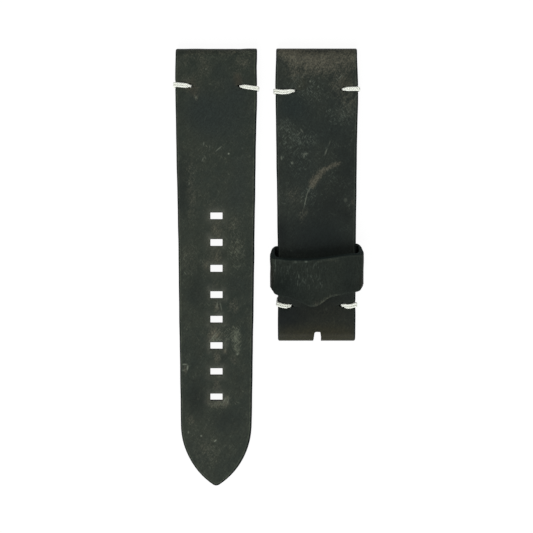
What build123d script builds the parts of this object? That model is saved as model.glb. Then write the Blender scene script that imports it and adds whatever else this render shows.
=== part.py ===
from build123d import *
import math
import os

# A two-piece leather watch strap, laid flat with its lug ends towards +Y.
# Lengths are in millimetres and angles in degrees. Z is zero on the surface that it lies on,
# and X and Y are zero at the middle of the whole.

os.makedirs("parts", exist_ok=True)

# Leather
outer_thickness = 1.8
lining_thickness = 1.0
edge_round = 0.35
cut_overrun = 5.0

# A face whose normal leans across the strap by more than this share is one of its sides
side_normal_share = 0.1

# Folds round the spring bars
bar_bore_radius = 1.0
fold_wall = 1.2
glue_line = 0.1
flap_length = 14.0
bulge_length = 7.0
throat_angle = 40.0
fold_corner_radius = 0.8
fold_corner_lead = 0.2

# Hole half, with how far each side draws in from the full width at the fold, middle and tip
hole_half_length = 116.3
hole_half_width = 21.75
hole_half_fold_draw = 0.125
hole_half_middle_draw = 0.775
hole_half_tip_draw = 1.425
tip_side_radius = 19.5
tip_nose_radius = 1.5
lie_start = 16.0
lie_end = 56.0

# Adjustment holes, with their size along the strap first
hole_count = 8
hole_height = 2.0
hole_width = 3.3
hole_corner = 0.25
hole_spacing = 6.88
first_hole = 44.45

# Buckle half, with how far each side draws in at the fold, middle and buckle end
buckle_half_length = 77.9
buckle_half_width = 22.0
buckle_half_fold_draw = 0.25
buckle_half_middle_draw = 0.45
buckle_half_end_draw = 0.75

# Tongue slot, with room for the tongue's eye round the bar
slot_depth = 2.5
slot_mouth_width = 2.3
slot_root_width = 1.6
slot_corner = 0.5
tongue_eye_radius = 1.3

# Keeper
keeper_wall = 1.35
keeper_strip_width = 10.3
keeper_play = 0.1
keeper_spare_height = 0.3
keeper_bend = 0.6
keeper_lean = 3.2
keeper_skew = 0.8
keeper_from_end = 18.7
keeper_seam = 0.1
keeper_edge_round = 0.25

# Stitches: each is one thread, taken twice round the edge through an awl hole
thread_diameter = 0.6
thread_gap = 0.44
thread_clearance = 0.03
thread_bend = 0.6
awl_corner = 0.2
samples_per_diameter = 5
apart_diameters = 4
stitch_setback = 10.0
stitch_inset = 5.0

# Setback and inset of each stitch, as shares of the two sizes above
hole_stitch_shares = {"left": (0.96, 0.95), "right": (1.01, 1.02)}
lug_stitch_shares = {"left": (1.14, 1.12), "right": (1.07, 0.94)}
end_stitch_shares = {"left": (0.92, 0.84), "right": (0.95, 0.84)}

# Slant of each stitch in degrees, positive where its outer end is nearer the lug end
hole_stitch_slants = {"left": 5.0, "right": -8.0}
lug_stitch_slants = {"left": -2.0, "right": 1.0}
end_stitch_slants = {"left": 8.0, "right": 2.0}

# Keeper stitches
keeper_thread = 0.4
keeper_thread_bend = 0.42
keeper_stitch_length = 3.2
keeper_stitch_spacing = 4.6
keeper_stitch_relief = 0.03

# Where the halves lie
halves_gap = 3.375
buckle_half_ahead = 0.16

# Heights that follow from the leather and the folds
strap_thickness = outer_thickness + lining_thickness
fold_radius = bar_bore_radius + fold_wall
fold_height = 2 * fold_radius
underside = fold_height - strap_thickness
glue_level = underside + lining_thickness
edge_easing = min(edge_round, fold_wall / 3, lining_thickness / 3)

# Widths at the folds, the middles and the narrow ends
hole_half_fold_width = hole_half_width - 2 * hole_half_fold_draw
hole_half_middle_width = hole_half_width - 2 * hole_half_middle_draw
hole_half_tip_width = hole_half_width - 2 * hole_half_tip_draw
buckle_half_fold_width = buckle_half_width - 2 * buckle_half_fold_draw
buckle_half_middle_width = buckle_half_width - 2 * buckle_half_middle_draw
buckle_half_end_width = buckle_half_width - 2 * buckle_half_end_draw

# Thread
thread_pitch = thread_diameter + thread_gap
thread_standoff = thread_diameter / 2 + thread_clearance

# Keeper loop
keeper_inner_width = buckle_half_width + 2 * keeper_play
keeper_inner_height = 2 * strap_thickness + keeper_spare_height
keeper_outer_width = keeper_inner_width + 2 * keeper_wall
keeper_outer_height = keeper_inner_height + 2 * keeper_wall
keeper_base = underside - keeper_play - keeper_wall
keeper_from_lug = buckle_half_length - keeper_from_end

# Plan of the tip: its side arcs are tangent to the sides and to the nose
tip_half_width = hole_half_tip_width / 2
tip_arc_offset = tip_side_radius - tip_half_width
tip_length = (
    math.sqrt((tip_side_radius - tip_nose_radius) ** 2 - tip_arc_offset**2) + tip_nose_radius
)
tip_point = math.sqrt(tip_side_radius**2 - tip_arc_offset**2)
tip_start = hole_half_length - tip_length


def thread_reach(inset_share, slant):
    """Return how far out from its awl hole a stitch turns down, clear of the edge for both turns."""
    turn = math.radians(slant)
    spread = (thread_pitch + thread_diameter) / 2 * abs(math.tan(turn))
    return stitch_inset * inset_share / math.cos(turn) + thread_standoff + spread


def thread_overhang(inset_share, slant):
    """Return how far a stitch stands out from the side of the strap."""
    turn = math.radians(slant)
    outermost = thread_reach(inset_share, slant) * math.cos(turn) + thread_pitch / 2 * abs(math.sin(turn))
    return outermost + thread_diameter / 2 - stitch_inset * inset_share


# The whole model is centred: the hole half's left stitch ends it on the left, the keeper on the right
left_overhang = thread_overhang(hole_stitch_shares["left"][1], hole_stitch_slants["left"])
halves_spacing = hole_half_width / 2 + halves_gap + keeper_outer_width / 2
total_width = hole_half_width / 2 + left_overhang + halves_spacing + keeper_outer_width / 2
total_length = hole_half_length + buckle_half_ahead
buckle_half_x = (total_width - keeper_outer_width) / 2
hole_half_x = buckle_half_x - halves_spacing
buckle_half_top = total_length / 2
hole_half_top = buckle_half_top - buckle_half_ahead


def plan_of(centre_x, top):
    """Plane seen from above, with x along the strap from its lug fold and y across it to the right."""
    return Plane(origin=(centre_x, top, 0), x_dir=(0, -1, 0), z_dir=(0, 0, 1))


def side_of(centre_x, top):
    """Plane seen from the side, with x along the strap from its lug fold and y up."""
    return Plane(origin=(centre_x, top, 0), x_dir=(0, -1, 0), z_dir=(-1, 0, 0))


def eased_step(start, end):
    """Draw two tangent arcs that leave start and reach end level."""
    middle = ((start[0] + end[0]) / 2, (start[1] + end[1]) / 2)
    first = TangentArc(start, middle, tangent=(1, 0))
    TangentArc(middle, end, tangent=first % 1)


def tunnel_section(centre, towards):
    """Draw a spring-bar bore, its throat, and the glue line from there to the end of the flap."""
    throat = math.radians(throat_angle)
    lip = centre + towards * bar_bore_radius * math.cos(throat)
    lip_rise = bar_bore_radius * math.sin(throat)
    mouth = centre + towards * bar_bore_radius
    level = centre + towards * (bulge_length - fold_radius)
    flap_end = centre + towards * (flap_length - fold_radius)
    with Locations((centre, fold_radius)):
        Circle(bar_bore_radius)
    Polygon(
        (centre, fold_radius),
        (lip, fold_radius - lip_rise),
        (centre + towards * bar_bore_radius / math.cos(throat), fold_radius),
        (lip, fold_radius + lip_rise),
    )
    Polygon(
        (mouth, fold_radius - glue_line / 2),
        (level, glue_level - glue_line),
        (flap_end, glue_level - glue_line),
        (flap_end, glue_level),
        (level, glue_level),
        (mouth, fold_radius + glue_line / 2),
    )


def side_edges(part):
    """Return the edges that run along a strap's sides, top and bottom."""
    walls = part.faces().filter_by(lambda face: abs(face.normal_at().X) > side_normal_share)
    return walls.edges().filter_by(Axis.Z, reverse=True)


def stitch_plane(centre_x, fold_y, inwards, width, side, shares, slant):
    """Plane at the middle of a stitch's awl hole, with x out towards the edge and z up."""
    setback_share, inset_share = shares
    outwards = 1 if side == "right" else -1
    turn = math.radians(slant)
    return Plane(
        origin=(
            centre_x + outwards * (width / 2 - stitch_inset * inset_share),
            fold_y + inwards * stitch_setback * setback_share,
            underside + strap_thickness / 2,
        ),
        x_dir=(outwards * math.cos(turn), math.sin(turn), 0),
        z_dir=(0, 0, 1),
    )


def thread_route(reach_in, reach_out, rise, pitch):
    """Return the corners of a thread that turns twice, stepping by its pitch on the underside."""
    steps = (-pitch / 2, pitch / 2, pitch + pitch / 2)
    return [
        (reach_in, steps[0], 0),
        (reach_in, steps[0], rise),
        (reach_out, steps[0], rise),
        (reach_out, steps[0], -rise),
        (reach_in, steps[1], -rise),
        (reach_in, steps[1], rise),
        (reach_out, steps[1], rise),
        (reach_out, steps[1], -rise),
        (reach_in, steps[2], -rise),
        (reach_in, steps[2], 0),
    ]


def least_gap(route, diameter):
    """Return the least gap between stretches of a thread that lie apart along it."""
    count = round(route.length / diameter * samples_per_diameter)
    points = [route.position_at(index / count) for index in range(count + 1)]
    apart = round(samples_per_diameter * apart_diameters)
    nearest = min(
        (points[far] - points[near]).length
        for near in range(count + 1)
        for far in range(near + apart, count + 1)
    )
    return nearest - diameter


# Folds that carry stitches: middle of the strap, place and inward direction along Y, and width
hole_fold = (hole_half_x, hole_half_top, -1, hole_half_width)
lug_fold = (buckle_half_x, buckle_half_top, -1, buckle_half_width)
end_fold = (buckle_half_x, buckle_half_top - buckle_half_length, 1, buckle_half_end_width)

stitches = {}
for group, fold, group_shares, slants in (
    ("hole_half_stitch", hole_fold, hole_stitch_shares, hole_stitch_slants),
    ("buckle_half_lug_stitch", lug_fold, lug_stitch_shares, lug_stitch_slants),
    ("buckle_half_end_stitch", end_fold, end_stitch_shares, end_stitch_slants),
):
    for side, shares in group_shares.items():
        place = stitch_plane(*fold, side, shares, slants[side])
        stitches[f"{group}_{side}"] = (place, thread_reach(shares[1], slants[side]))

# Awl holes, which step by one pitch towards the underside as the threads do
with BuildPart() as awl_holes:
    for place, reach in stitches.values():
        for height, step in ((strap_thickness, 0), (-strap_thickness, thread_pitch)):
            with BuildSketch(place):
                with Locations((0, step)):
                    RectangleRounded(2 * thread_bend, 2 * thread_pitch, awl_corner)
            extrude(amount=height)

# Hole half, at its full thickness before the layers are parted
hole_plan = plan_of(hole_half_x, hole_half_top)
hole_side = side_of(hole_half_x, hole_half_top)

with BuildPart() as hole_half_blank:
    with BuildSketch(hole_side):
        with BuildLine():
            ThreePointArc((fold_radius, 0), (0, fold_radius), (fold_radius, fold_height))
            Line((fold_radius, fold_height), (lie_start, fold_height))
            eased_step((lie_start, fold_height), (lie_end, strap_thickness))
            Polyline(
                (lie_end, strap_thickness),
                (hole_half_length + cut_overrun, strap_thickness),
                (hole_half_length + cut_overrun, 0),
                (lie_end, 0),
            )
            eased_step((lie_start, underside), (lie_end, 0))
            Line((lie_start, underside), (bulge_length, underside))
            eased_step((fold_radius, 0), (bulge_length, underside))
        make_face()
    extrude(amount=hole_half_width, both=True)
    with BuildSketch(hole_plan) as hole_outline:
        with BuildLine():
            Polyline(
                (-fold_corner_lead, 0),
                (-fold_corner_lead, hole_half_fold_width / 2),
                (fold_radius, hole_half_fold_width / 2),
                (stitch_setback, hole_half_width / 2),
            )
            ThreePointArc(
                (stitch_setback, hole_half_width / 2),
                ((stitch_setback + tip_start) / 2, hole_half_middle_width / 2),
                (tip_start, tip_half_width),
            )
            RadiusArc((tip_start, tip_half_width), (tip_start + tip_point, 0), tip_side_radius)
            mirror(about=Plane.XZ)
        make_face()
        fillet(hole_outline.vertices().sort_by(Axis.X)[-1], tip_nose_radius)
        fillet(hole_outline.vertices().group_by(Axis.X)[0], fold_corner_radius)
    extrude(amount=fold_height, mode=Mode.INTERSECT)
    fillet(side_edges(hole_half_blank.part), edge_easing)

# Space of the hole half's lining: below the glue level, from the end of the flap on
with BuildPart() as hole_lining_space:
    with BuildSketch(hole_side):
        with BuildLine():
            Line((flap_length, glue_level), (lie_start, glue_level))
            eased_step((lie_start, glue_level), (lie_end, lining_thickness))
            Polyline(
                (lie_end, lining_thickness),
                (hole_half_length + 2 * cut_overrun, lining_thickness),
                (hole_half_length + 2 * cut_overrun, -cut_overrun),
                (flap_length, -cut_overrun),
                (flap_length, glue_level),
            )
        make_face()
    extrude(amount=hole_half_width, both=True)

# Adjustment holes, through both layers
with BuildPart() as adjustment_holes:
    with BuildSketch(hole_plan.offset(-cut_overrun)):
        with Locations((first_hole + hole_spacing * (hole_count - 1) / 2, 0)):
            with GridLocations(hole_spacing, hole_spacing, hole_count, 1):
                RectangleRounded(hole_height, hole_width, hole_corner)
    extrude(amount=fold_height + 2 * cut_overrun)

with BuildPart() as hole_half_leather:
    add(hole_half_blank.part)
    add(hole_lining_space.part, mode=Mode.SUBTRACT)
    with BuildSketch(hole_side):
        tunnel_section(fold_radius, 1)
    extrude(amount=hole_half_width, both=True, mode=Mode.SUBTRACT)
    add(adjustment_holes.part, mode=Mode.SUBTRACT)
    add(awl_holes.part, mode=Mode.SUBTRACT)

hole_half_leather.part.label = "hole_half_leather"
export_step(hole_half_leather.part, "parts/hole_half_leather.step")

with BuildPart() as hole_half_lining:
    add(hole_half_blank.part)
    add(hole_lining_space.part, mode=Mode.INTERSECT)
    add(adjustment_holes.part, mode=Mode.SUBTRACT)

hole_half_lining.part.label = "hole_half_lining"
export_step(hole_half_lining.part, "parts/hole_half_lining.step")

# Buckle half, at its full thickness before the layers are parted
buckle_plan = plan_of(buckle_half_x, buckle_half_top)
buckle_side = side_of(buckle_half_x, buckle_half_top)
end_fold_start = buckle_half_length - fold_radius
end_bulge = buckle_half_length - bulge_length
end_setback = buckle_half_length - stitch_setback

with BuildPart() as buckle_half_blank:
    with BuildSketch(buckle_side):
        with BuildLine():
            ThreePointArc((fold_radius, 0), (0, fold_radius), (fold_radius, fold_height))
            Line((fold_radius, fold_height), (end_fold_start, fold_height))
            ThreePointArc(
                (end_fold_start, fold_height),
                (buckle_half_length, fold_radius),
                (end_fold_start, 0),
            )
            eased_step((end_bulge, underside), (end_fold_start, 0))
            Line((end_bulge, underside), (bulge_length, underside))
            eased_step((fold_radius, 0), (bulge_length, underside))
        make_face()
    extrude(amount=buckle_half_width, both=True)
    with BuildSketch(buckle_plan) as buckle_outline:
        with BuildLine():
            Polyline(
                (-fold_corner_lead, 0),
                (-fold_corner_lead, buckle_half_fold_width / 2),
                (fold_radius, buckle_half_fold_width / 2),
                (stitch_setback, buckle_half_width / 2),
            )
            ThreePointArc(
                (stitch_setback, buckle_half_width / 2),
                (buckle_half_length / 2, buckle_half_middle_width / 2),
                (end_setback, buckle_half_end_width / 2),
            )
            Polyline(
                (end_setback, buckle_half_end_width / 2),
                (buckle_half_length + fold_corner_lead, buckle_half_end_width / 2),
                (buckle_half_length + fold_corner_lead, 0),
            )
            mirror(about=Plane.XZ)
        make_face()
        fillet(buckle_outline.vertices().group_by(Axis.X)[0], fold_corner_radius)
        fillet(buckle_outline.vertices().group_by(Axis.X)[-1], fold_corner_radius)
    extrude(amount=fold_height, mode=Mode.INTERSECT)
    fillet(side_edges(buckle_half_blank.part), edge_easing)

# Space of the buckle half's lining: below the glue level, between the two flaps
with BuildPart() as buckle_lining_space:
    with BuildSketch(buckle_side):
        Polygon(
            (flap_length, -cut_overrun),
            (buckle_half_length - flap_length, -cut_overrun),
            (buckle_half_length - flap_length, glue_level),
            (flap_length, glue_level),
        )
    extrude(amount=buckle_half_width, both=True)

with BuildPart() as buckle_half_leather:
    add(buckle_half_blank.part)
    add(buckle_lining_space.part, mode=Mode.SUBTRACT)
    with BuildSketch(buckle_side):
        tunnel_section(fold_radius, 1)
        tunnel_section(end_fold_start, -1)
    extrude(amount=buckle_half_width, both=True, mode=Mode.SUBTRACT)
    with BuildSketch(buckle_plan.offset(-cut_overrun)) as tongue_slot:
        Polygon(
            (buckle_half_length - slot_depth, -slot_root_width / 2),
            (buckle_half_length, -slot_mouth_width / 2),
            (buckle_half_length + cut_overrun, -slot_mouth_width / 2),
            (buckle_half_length + cut_overrun, slot_mouth_width / 2),
            (buckle_half_length, slot_mouth_width / 2),
            (buckle_half_length - slot_depth, slot_root_width / 2),
        )
        fillet(tongue_slot.vertices().group_by(Axis.X)[0], slot_corner)
    extrude(amount=fold_height + 2 * cut_overrun, mode=Mode.SUBTRACT)
    with BuildSketch(buckle_side):
        with Locations((end_fold_start, fold_radius)):
            Circle(tongue_eye_radius)
    extrude(amount=slot_mouth_width / 2, both=True, mode=Mode.SUBTRACT)
    add(awl_holes.part, mode=Mode.SUBTRACT)

buckle_half_leather.part.label = "buckle_half_leather"
export_step(buckle_half_leather.part, "parts/buckle_half_leather.step")

with BuildPart() as buckle_half_lining:
    add(buckle_half_blank.part)
    add(buckle_lining_space.part, mode=Mode.INTERSECT)

buckle_half_lining.part.label = "buckle_half_lining"
export_step(buckle_half_lining.part, "parts/buckle_half_lining.step")

# Stitches of both halves, each one unbroken thread
for label, (place, reach) in stitches.items():
    with BuildPart() as stitch:
        with BuildLine(place) as route:
            FilletPolyline(
                thread_route(0, reach, strap_thickness / 2 + thread_standoff, thread_pitch),
                radius=thread_bend,
            )
        with BuildSketch(Plane(origin=route.line @ 0, z_dir=route.line % 0)):
            Circle(thread_diameter / 2)
        sweep()
    print(f"{label}: least gap {least_gap(route.wire(), thread_diameter):.2f} mm")
    stitch.part.label = label
    export_step(stitch.part, f"parts/{label}.step")

# Keeper: a strip bent into a loop whose two rims lean, because it is taller than the strap in it
keeper_back_rise = (keeper_outer_height - keeper_wall) / 2
keeper_middle = Vector(
    buckle_half_x, buckle_half_top - keeper_from_lug, keeper_base + keeper_outer_height / 2
)
keeper_section = Plane(origin=keeper_middle, x_dir=(1, 0, 0), z_dir=(0, -1, 0))
rim_normal = (-keeper_skew / keeper_outer_width, 1, keeper_lean / (2 * keeper_back_rise))
half_strip = Vector(0, keeper_strip_width / 2, 0)

keeper_pitch = keeper_thread + thread_gap
keeper_thread_rise = keeper_wall / 2 - keeper_stitch_relief - keeper_thread / 2
keeper_web = 2 * keeper_thread_rise - keeper_thread - 2 * thread_clearance
keeper_back = Plane(
    origin=keeper_middle + Vector(0, keeper_lean / 2, -keeper_back_rise),
    x_dir=(1, 0, 0),
    z_dir=(0, 0, 1),
)
keeper_stitches = {
    "keeper_stitch_upper": keeper_stitch_spacing / 2,
    "keeper_stitch_lower": -keeper_stitch_spacing / 2,
}

with BuildPart() as keeper_band:
    with BuildSketch(keeper_section):
        RectangleRounded(keeper_outer_width, keeper_outer_height, keeper_bend + keeper_wall)
        RectangleRounded(keeper_inner_width, keeper_inner_height, keeper_bend, mode=Mode.SUBTRACT)
    extrude(amount=keeper_strip_width, both=True)
    split(bisect_by=Plane(origin=keeper_middle + half_strip, z_dir=rim_normal), keep=Keep.BOTTOM)
    split(bisect_by=Plane(origin=keeper_middle - half_strip, z_dir=rim_normal), keep=Keep.TOP)
    rims = keeper_band.faces().sort_by(Axis.Y)
    fillet(ShapeList([rims[0], rims[-1]]).edges(), keeper_edge_round)
    with BuildSketch(keeper_back):
        Rectangle(keeper_seam, 2 * keeper_strip_width)
    extrude(amount=keeper_wall, both=True, mode=Mode.SUBTRACT)
    for shift in keeper_stitches.values():
        with BuildSketch(keeper_back):
            with Locations((0, shift + keeper_pitch / 2)):
                with GridLocations(keeper_stitch_length, keeper_pitch, 2, 1):
                    Rectangle(2 * keeper_thread_bend, 3 * keeper_pitch)
        extrude(amount=keeper_wall, both=True, mode=Mode.SUBTRACT)
        for height, step in ((keeper_wall, 0), (-keeper_wall, keeper_pitch / 2)):
            with BuildSketch(keeper_back.offset(math.copysign(keeper_web / 2, height))):
                with Locations((0, shift + step)):
                    Rectangle(keeper_stitch_length, 2 * keeper_pitch + 2 * step)
            extrude(amount=height, mode=Mode.SUBTRACT)

keeper_band.part.label = "keeper_band"
export_step(keeper_band.part, "parts/keeper_band.step")

for label, shift in keeper_stitches.items():
    with BuildPart() as keeper_stitch:
        keeper_stitch_middle = keeper_back.from_local_coords((0, shift, 0))
        with BuildLine(Plane(keeper_stitch_middle, x_dir=keeper_back.x_dir)) as route:
            FilletPolyline(
                thread_route(
                    -keeper_stitch_length / 2,
                    keeper_stitch_length / 2,
                    keeper_thread_rise,
                    keeper_pitch,
                ),
                radius=keeper_thread_bend,
            )
        with BuildSketch(Plane(origin=route.line @ 0, z_dir=route.line % 0)):
            Circle(keeper_thread / 2)
        sweep()
    print(f"{label}: least gap {least_gap(route.wire(), keeper_thread):.2f} mm")
    keeper_stitch.part.label = label
    export_step(keeper_stitch.part, f"parts/{label}.step")
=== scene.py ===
"""Two-piece leather watch strap with its keeper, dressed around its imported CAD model.

Lengths in the classes are in millimetres in the row's frame, and meshes are in metres.
Places that were read off the photograph are named in its pixels and turned into the row's frame by spot().
"""

import logging
import math
from dataclasses import dataclass, fields
from enum import Enum

import bmesh
import bpy
import numpy as np
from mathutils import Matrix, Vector


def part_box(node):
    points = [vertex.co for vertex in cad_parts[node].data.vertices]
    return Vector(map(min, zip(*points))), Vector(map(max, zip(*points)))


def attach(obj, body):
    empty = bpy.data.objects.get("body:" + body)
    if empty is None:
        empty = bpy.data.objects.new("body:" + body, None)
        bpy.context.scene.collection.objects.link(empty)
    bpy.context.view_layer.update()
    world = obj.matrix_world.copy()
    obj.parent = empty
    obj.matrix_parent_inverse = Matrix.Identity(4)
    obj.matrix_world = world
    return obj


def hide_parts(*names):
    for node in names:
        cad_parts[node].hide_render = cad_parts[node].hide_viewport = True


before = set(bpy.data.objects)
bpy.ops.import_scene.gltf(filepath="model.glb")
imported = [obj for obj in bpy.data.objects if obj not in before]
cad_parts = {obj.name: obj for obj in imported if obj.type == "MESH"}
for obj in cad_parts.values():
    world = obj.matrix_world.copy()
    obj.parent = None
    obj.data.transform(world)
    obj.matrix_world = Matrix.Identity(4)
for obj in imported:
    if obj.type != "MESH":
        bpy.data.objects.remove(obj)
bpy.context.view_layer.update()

log = logging.getLogger("watch_strap")

MM = 0.001
PHOTO_PX_PER_MM = 3.75
PHOTO_MIDDLE_PX = 266.5
VIEW_MIDDLE = (-0.395, 0.12)
NO_HOLE_NEAR = 20.0
WELD = MM / 1e4
SHARP_EDGE = math.radians(38)
Socket = bpy.types.NodeSocket
Pair = tuple[float, float]
Triple = tuple[float, float, float]


class Slot(Enum):
    """Material slots of the record."""

    OUTER = "outer_leather"
    LINING = "lining_leather"
    THREAD = "thread"


class Side(Enum):
    """Which edge of a strap a stitch goes round, as the sign of X away from its middle."""

    LEFT = -1
    RIGHT = 1


def spot(px: float, py: float) -> Pair:
    """Turn a place in the photograph into millimetres in the row's frame.

    Args:
        px: Pixels from the photograph's left edge.
        py: Pixels from its top edge.

    Returns:
        X and Y in millimetres.
    """
    x = VIEW_MIDDLE[0] + (px - PHOTO_MIDDLE_PX) / PHOTO_PX_PER_MM
    y = VIEW_MIDDLE[1] - (py - PHOTO_MIDDLE_PX) / PHOTO_PX_PER_MM
    return x, y


def ease(value: np.ndarray, start: float, end: float) -> np.ndarray:
    """Rise smoothly from 0 at start to 1 at end, or fall where end is the lower of the two.

    Args:
        value: Where to read the rise.
        start: Value that gives 0.
        end: Value that gives 1.

    Returns:
        The rise, from 0 to 1.
    """
    share = np.clip((value - start) / (end - start), 0, 1)
    return share * share * (3 - 2 * share)


def soft_line(spots: tuple[Pair, ...], value: np.ndarray) -> np.ndarray:
    """Read a smooth line through given points.

    Args:
        spots: Places and heights, in rising order.
        value: Where to read it.

    Returns:
        The line's height at each value.
    """
    places, heights = np.array(spots).T
    fine = np.linspace(places[0], places[-1], 201)
    window = np.hanning(19)[1:-1] / np.hanning(19).sum()
    padded = np.pad(np.interp(fine, places, heights), len(window) // 2, mode="edge")
    return np.interp(value, fine, np.convolve(padded, window, mode="valid"))


@dataclass(frozen=True)
class Ripple:
    """Smooth random relief made of crossing waves.

    Attributes:
        wavelength: Usual distance between crests, in millimetres.
        height: Height of the usual crest.
        seed: Picks the waves.
        stretch: How much longer the crests run along Y than across.
        waves: Number of waves that cross.
    """

    wavelength: float
    height: float
    seed: int
    stretch: float = 1.0
    waves: int = 11

    def at(self, x: np.ndarray, y: np.ndarray) -> np.ndarray:
        """Read the relief.

        Args:
            x: Places in millimetres.
            y: The same.

        Returns:
            Its height there.
        """
        draw = np.random.default_rng(self.seed)
        total = np.zeros_like(x)
        for _ in range(self.waves):
            turn, phase = draw.uniform(0, math.tau, 2)
            pace = math.tau / (self.wavelength * draw.uniform(0.7, 1.5))
            across, along = math.cos(turn) * x, math.sin(turn) * y / self.stretch
            total += np.sin(pace * (across + along) + phase)
        return self.height * total / math.sqrt(self.waves)


@dataclass(frozen=True)
class Mark:
    """A patch of wear, stain, dark colour, painted shade or painted highlight.

    Attributes:
        px: Its middle in the photograph, in pixels from the left.
        py: The same, from the top.
        along: Half its length, in millimetres.
        across: Half its width.
        strength: How strongly it shows, from 0 to 1, or how much it takes off others where negative.
        turn: Turn of its length from +Y towards +X, in degrees.
    """

    px: float
    py: float
    along: float
    across: float
    strength: float
    turn: float = 0.0

    def at(self, x: np.ndarray, y: np.ndarray) -> np.ndarray:
        """Read the mark.

        Args:
            x: Places in millimetres.
            y: The same.

        Returns:
            How strongly it shows there.
        """
        centre_x, centre_y = spot(self.px, self.py)
        angle = math.radians(self.turn)
        dx, dy = x - centre_x, y - centre_y
        along = (dx * math.sin(angle) + dy * math.cos(angle)) / self.along
        across = (dx * math.cos(angle) - dy * math.sin(angle)) / self.across
        return self.strength * ease(np.hypot(along, across), 1.0, 0.0)


def marks(*rows: tuple[float, ...]) -> tuple[Mark, ...]:
    """Return a mark for each row of a Mark's fields."""
    return tuple(Mark(*row) for row in rows)


@dataclass(frozen=True)
class Wear:
    """The places where a piece of leather has changed its looks.

    Attributes:
        rub_and_highlight: Brown, worn places, and on the keeper the painted highlight along its rims.
        scuff: Pale scuffs.
        shade: Dark places, some of them painted shade.
        teal: Dark, bluer places, some of them painted shade.
        stain: Red-brown places.
    """

    rub_and_highlight: tuple[Mark, ...] = ()
    scuff: tuple[Mark, ...] = ()
    shade: tuple[Mark, ...] = ()
    teal: tuple[Mark, ...] = ()
    stain: tuple[Mark, ...] = ()

    def show(self, skin: "Skin", points: np.ndarray, share: np.ndarray | float = 1.0) -> None:
        """Keep how strongly each kind of wear shows at a skin's vertices.

        Args:
            skin: The skin.
            points: Where its vertices lie when seen from above, in millimetres.
            share: How much of the wear each vertex takes.
        """
        x, y = points[:, 0], points[:, 1]
        for kind in fields(self):
            total = sum((mark.at(x, y) for mark in getattr(self, kind.name)), np.zeros_like(x))
            skin.hold(kind.name, np.clip(total, 0, 1) * share)


@dataclass(frozen=True)
class Nudge:
    """A small shift of the leather round one place, as hand work leaves it.

    Attributes:
        x: The place, in millimetres.
        y: The same, along the strap.
        reach: How far from it the shift fades out.
        dx: The shift across the strap.
        dy: The shift along it.
    """

    x: float
    y: float
    reach: float
    dx: float
    dy: float

    def shift(self, points: np.ndarray) -> np.ndarray:
        """Return how far each point moves, in millimetres."""
        away = np.hypot(points[:, 0] - self.x, points[:, 1] - self.y)
        return ease(away, self.reach, self.reach * 0.45)[:, None] * np.array([self.dx, self.dy, 0.0])


def paint(red: float, green: float, blue: float) -> tuple[float, float, float, float]:
    """Turn a display colour of 0 to 255 into Blender's linear RGBA."""
    shares = (channel / 255 for channel in (red, green, blue))
    return (*(s / 12.92 if s <= 0.04045 else ((s + 0.055) / 1.055) ** 2.4 for s in shares), 1.0)


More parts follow.
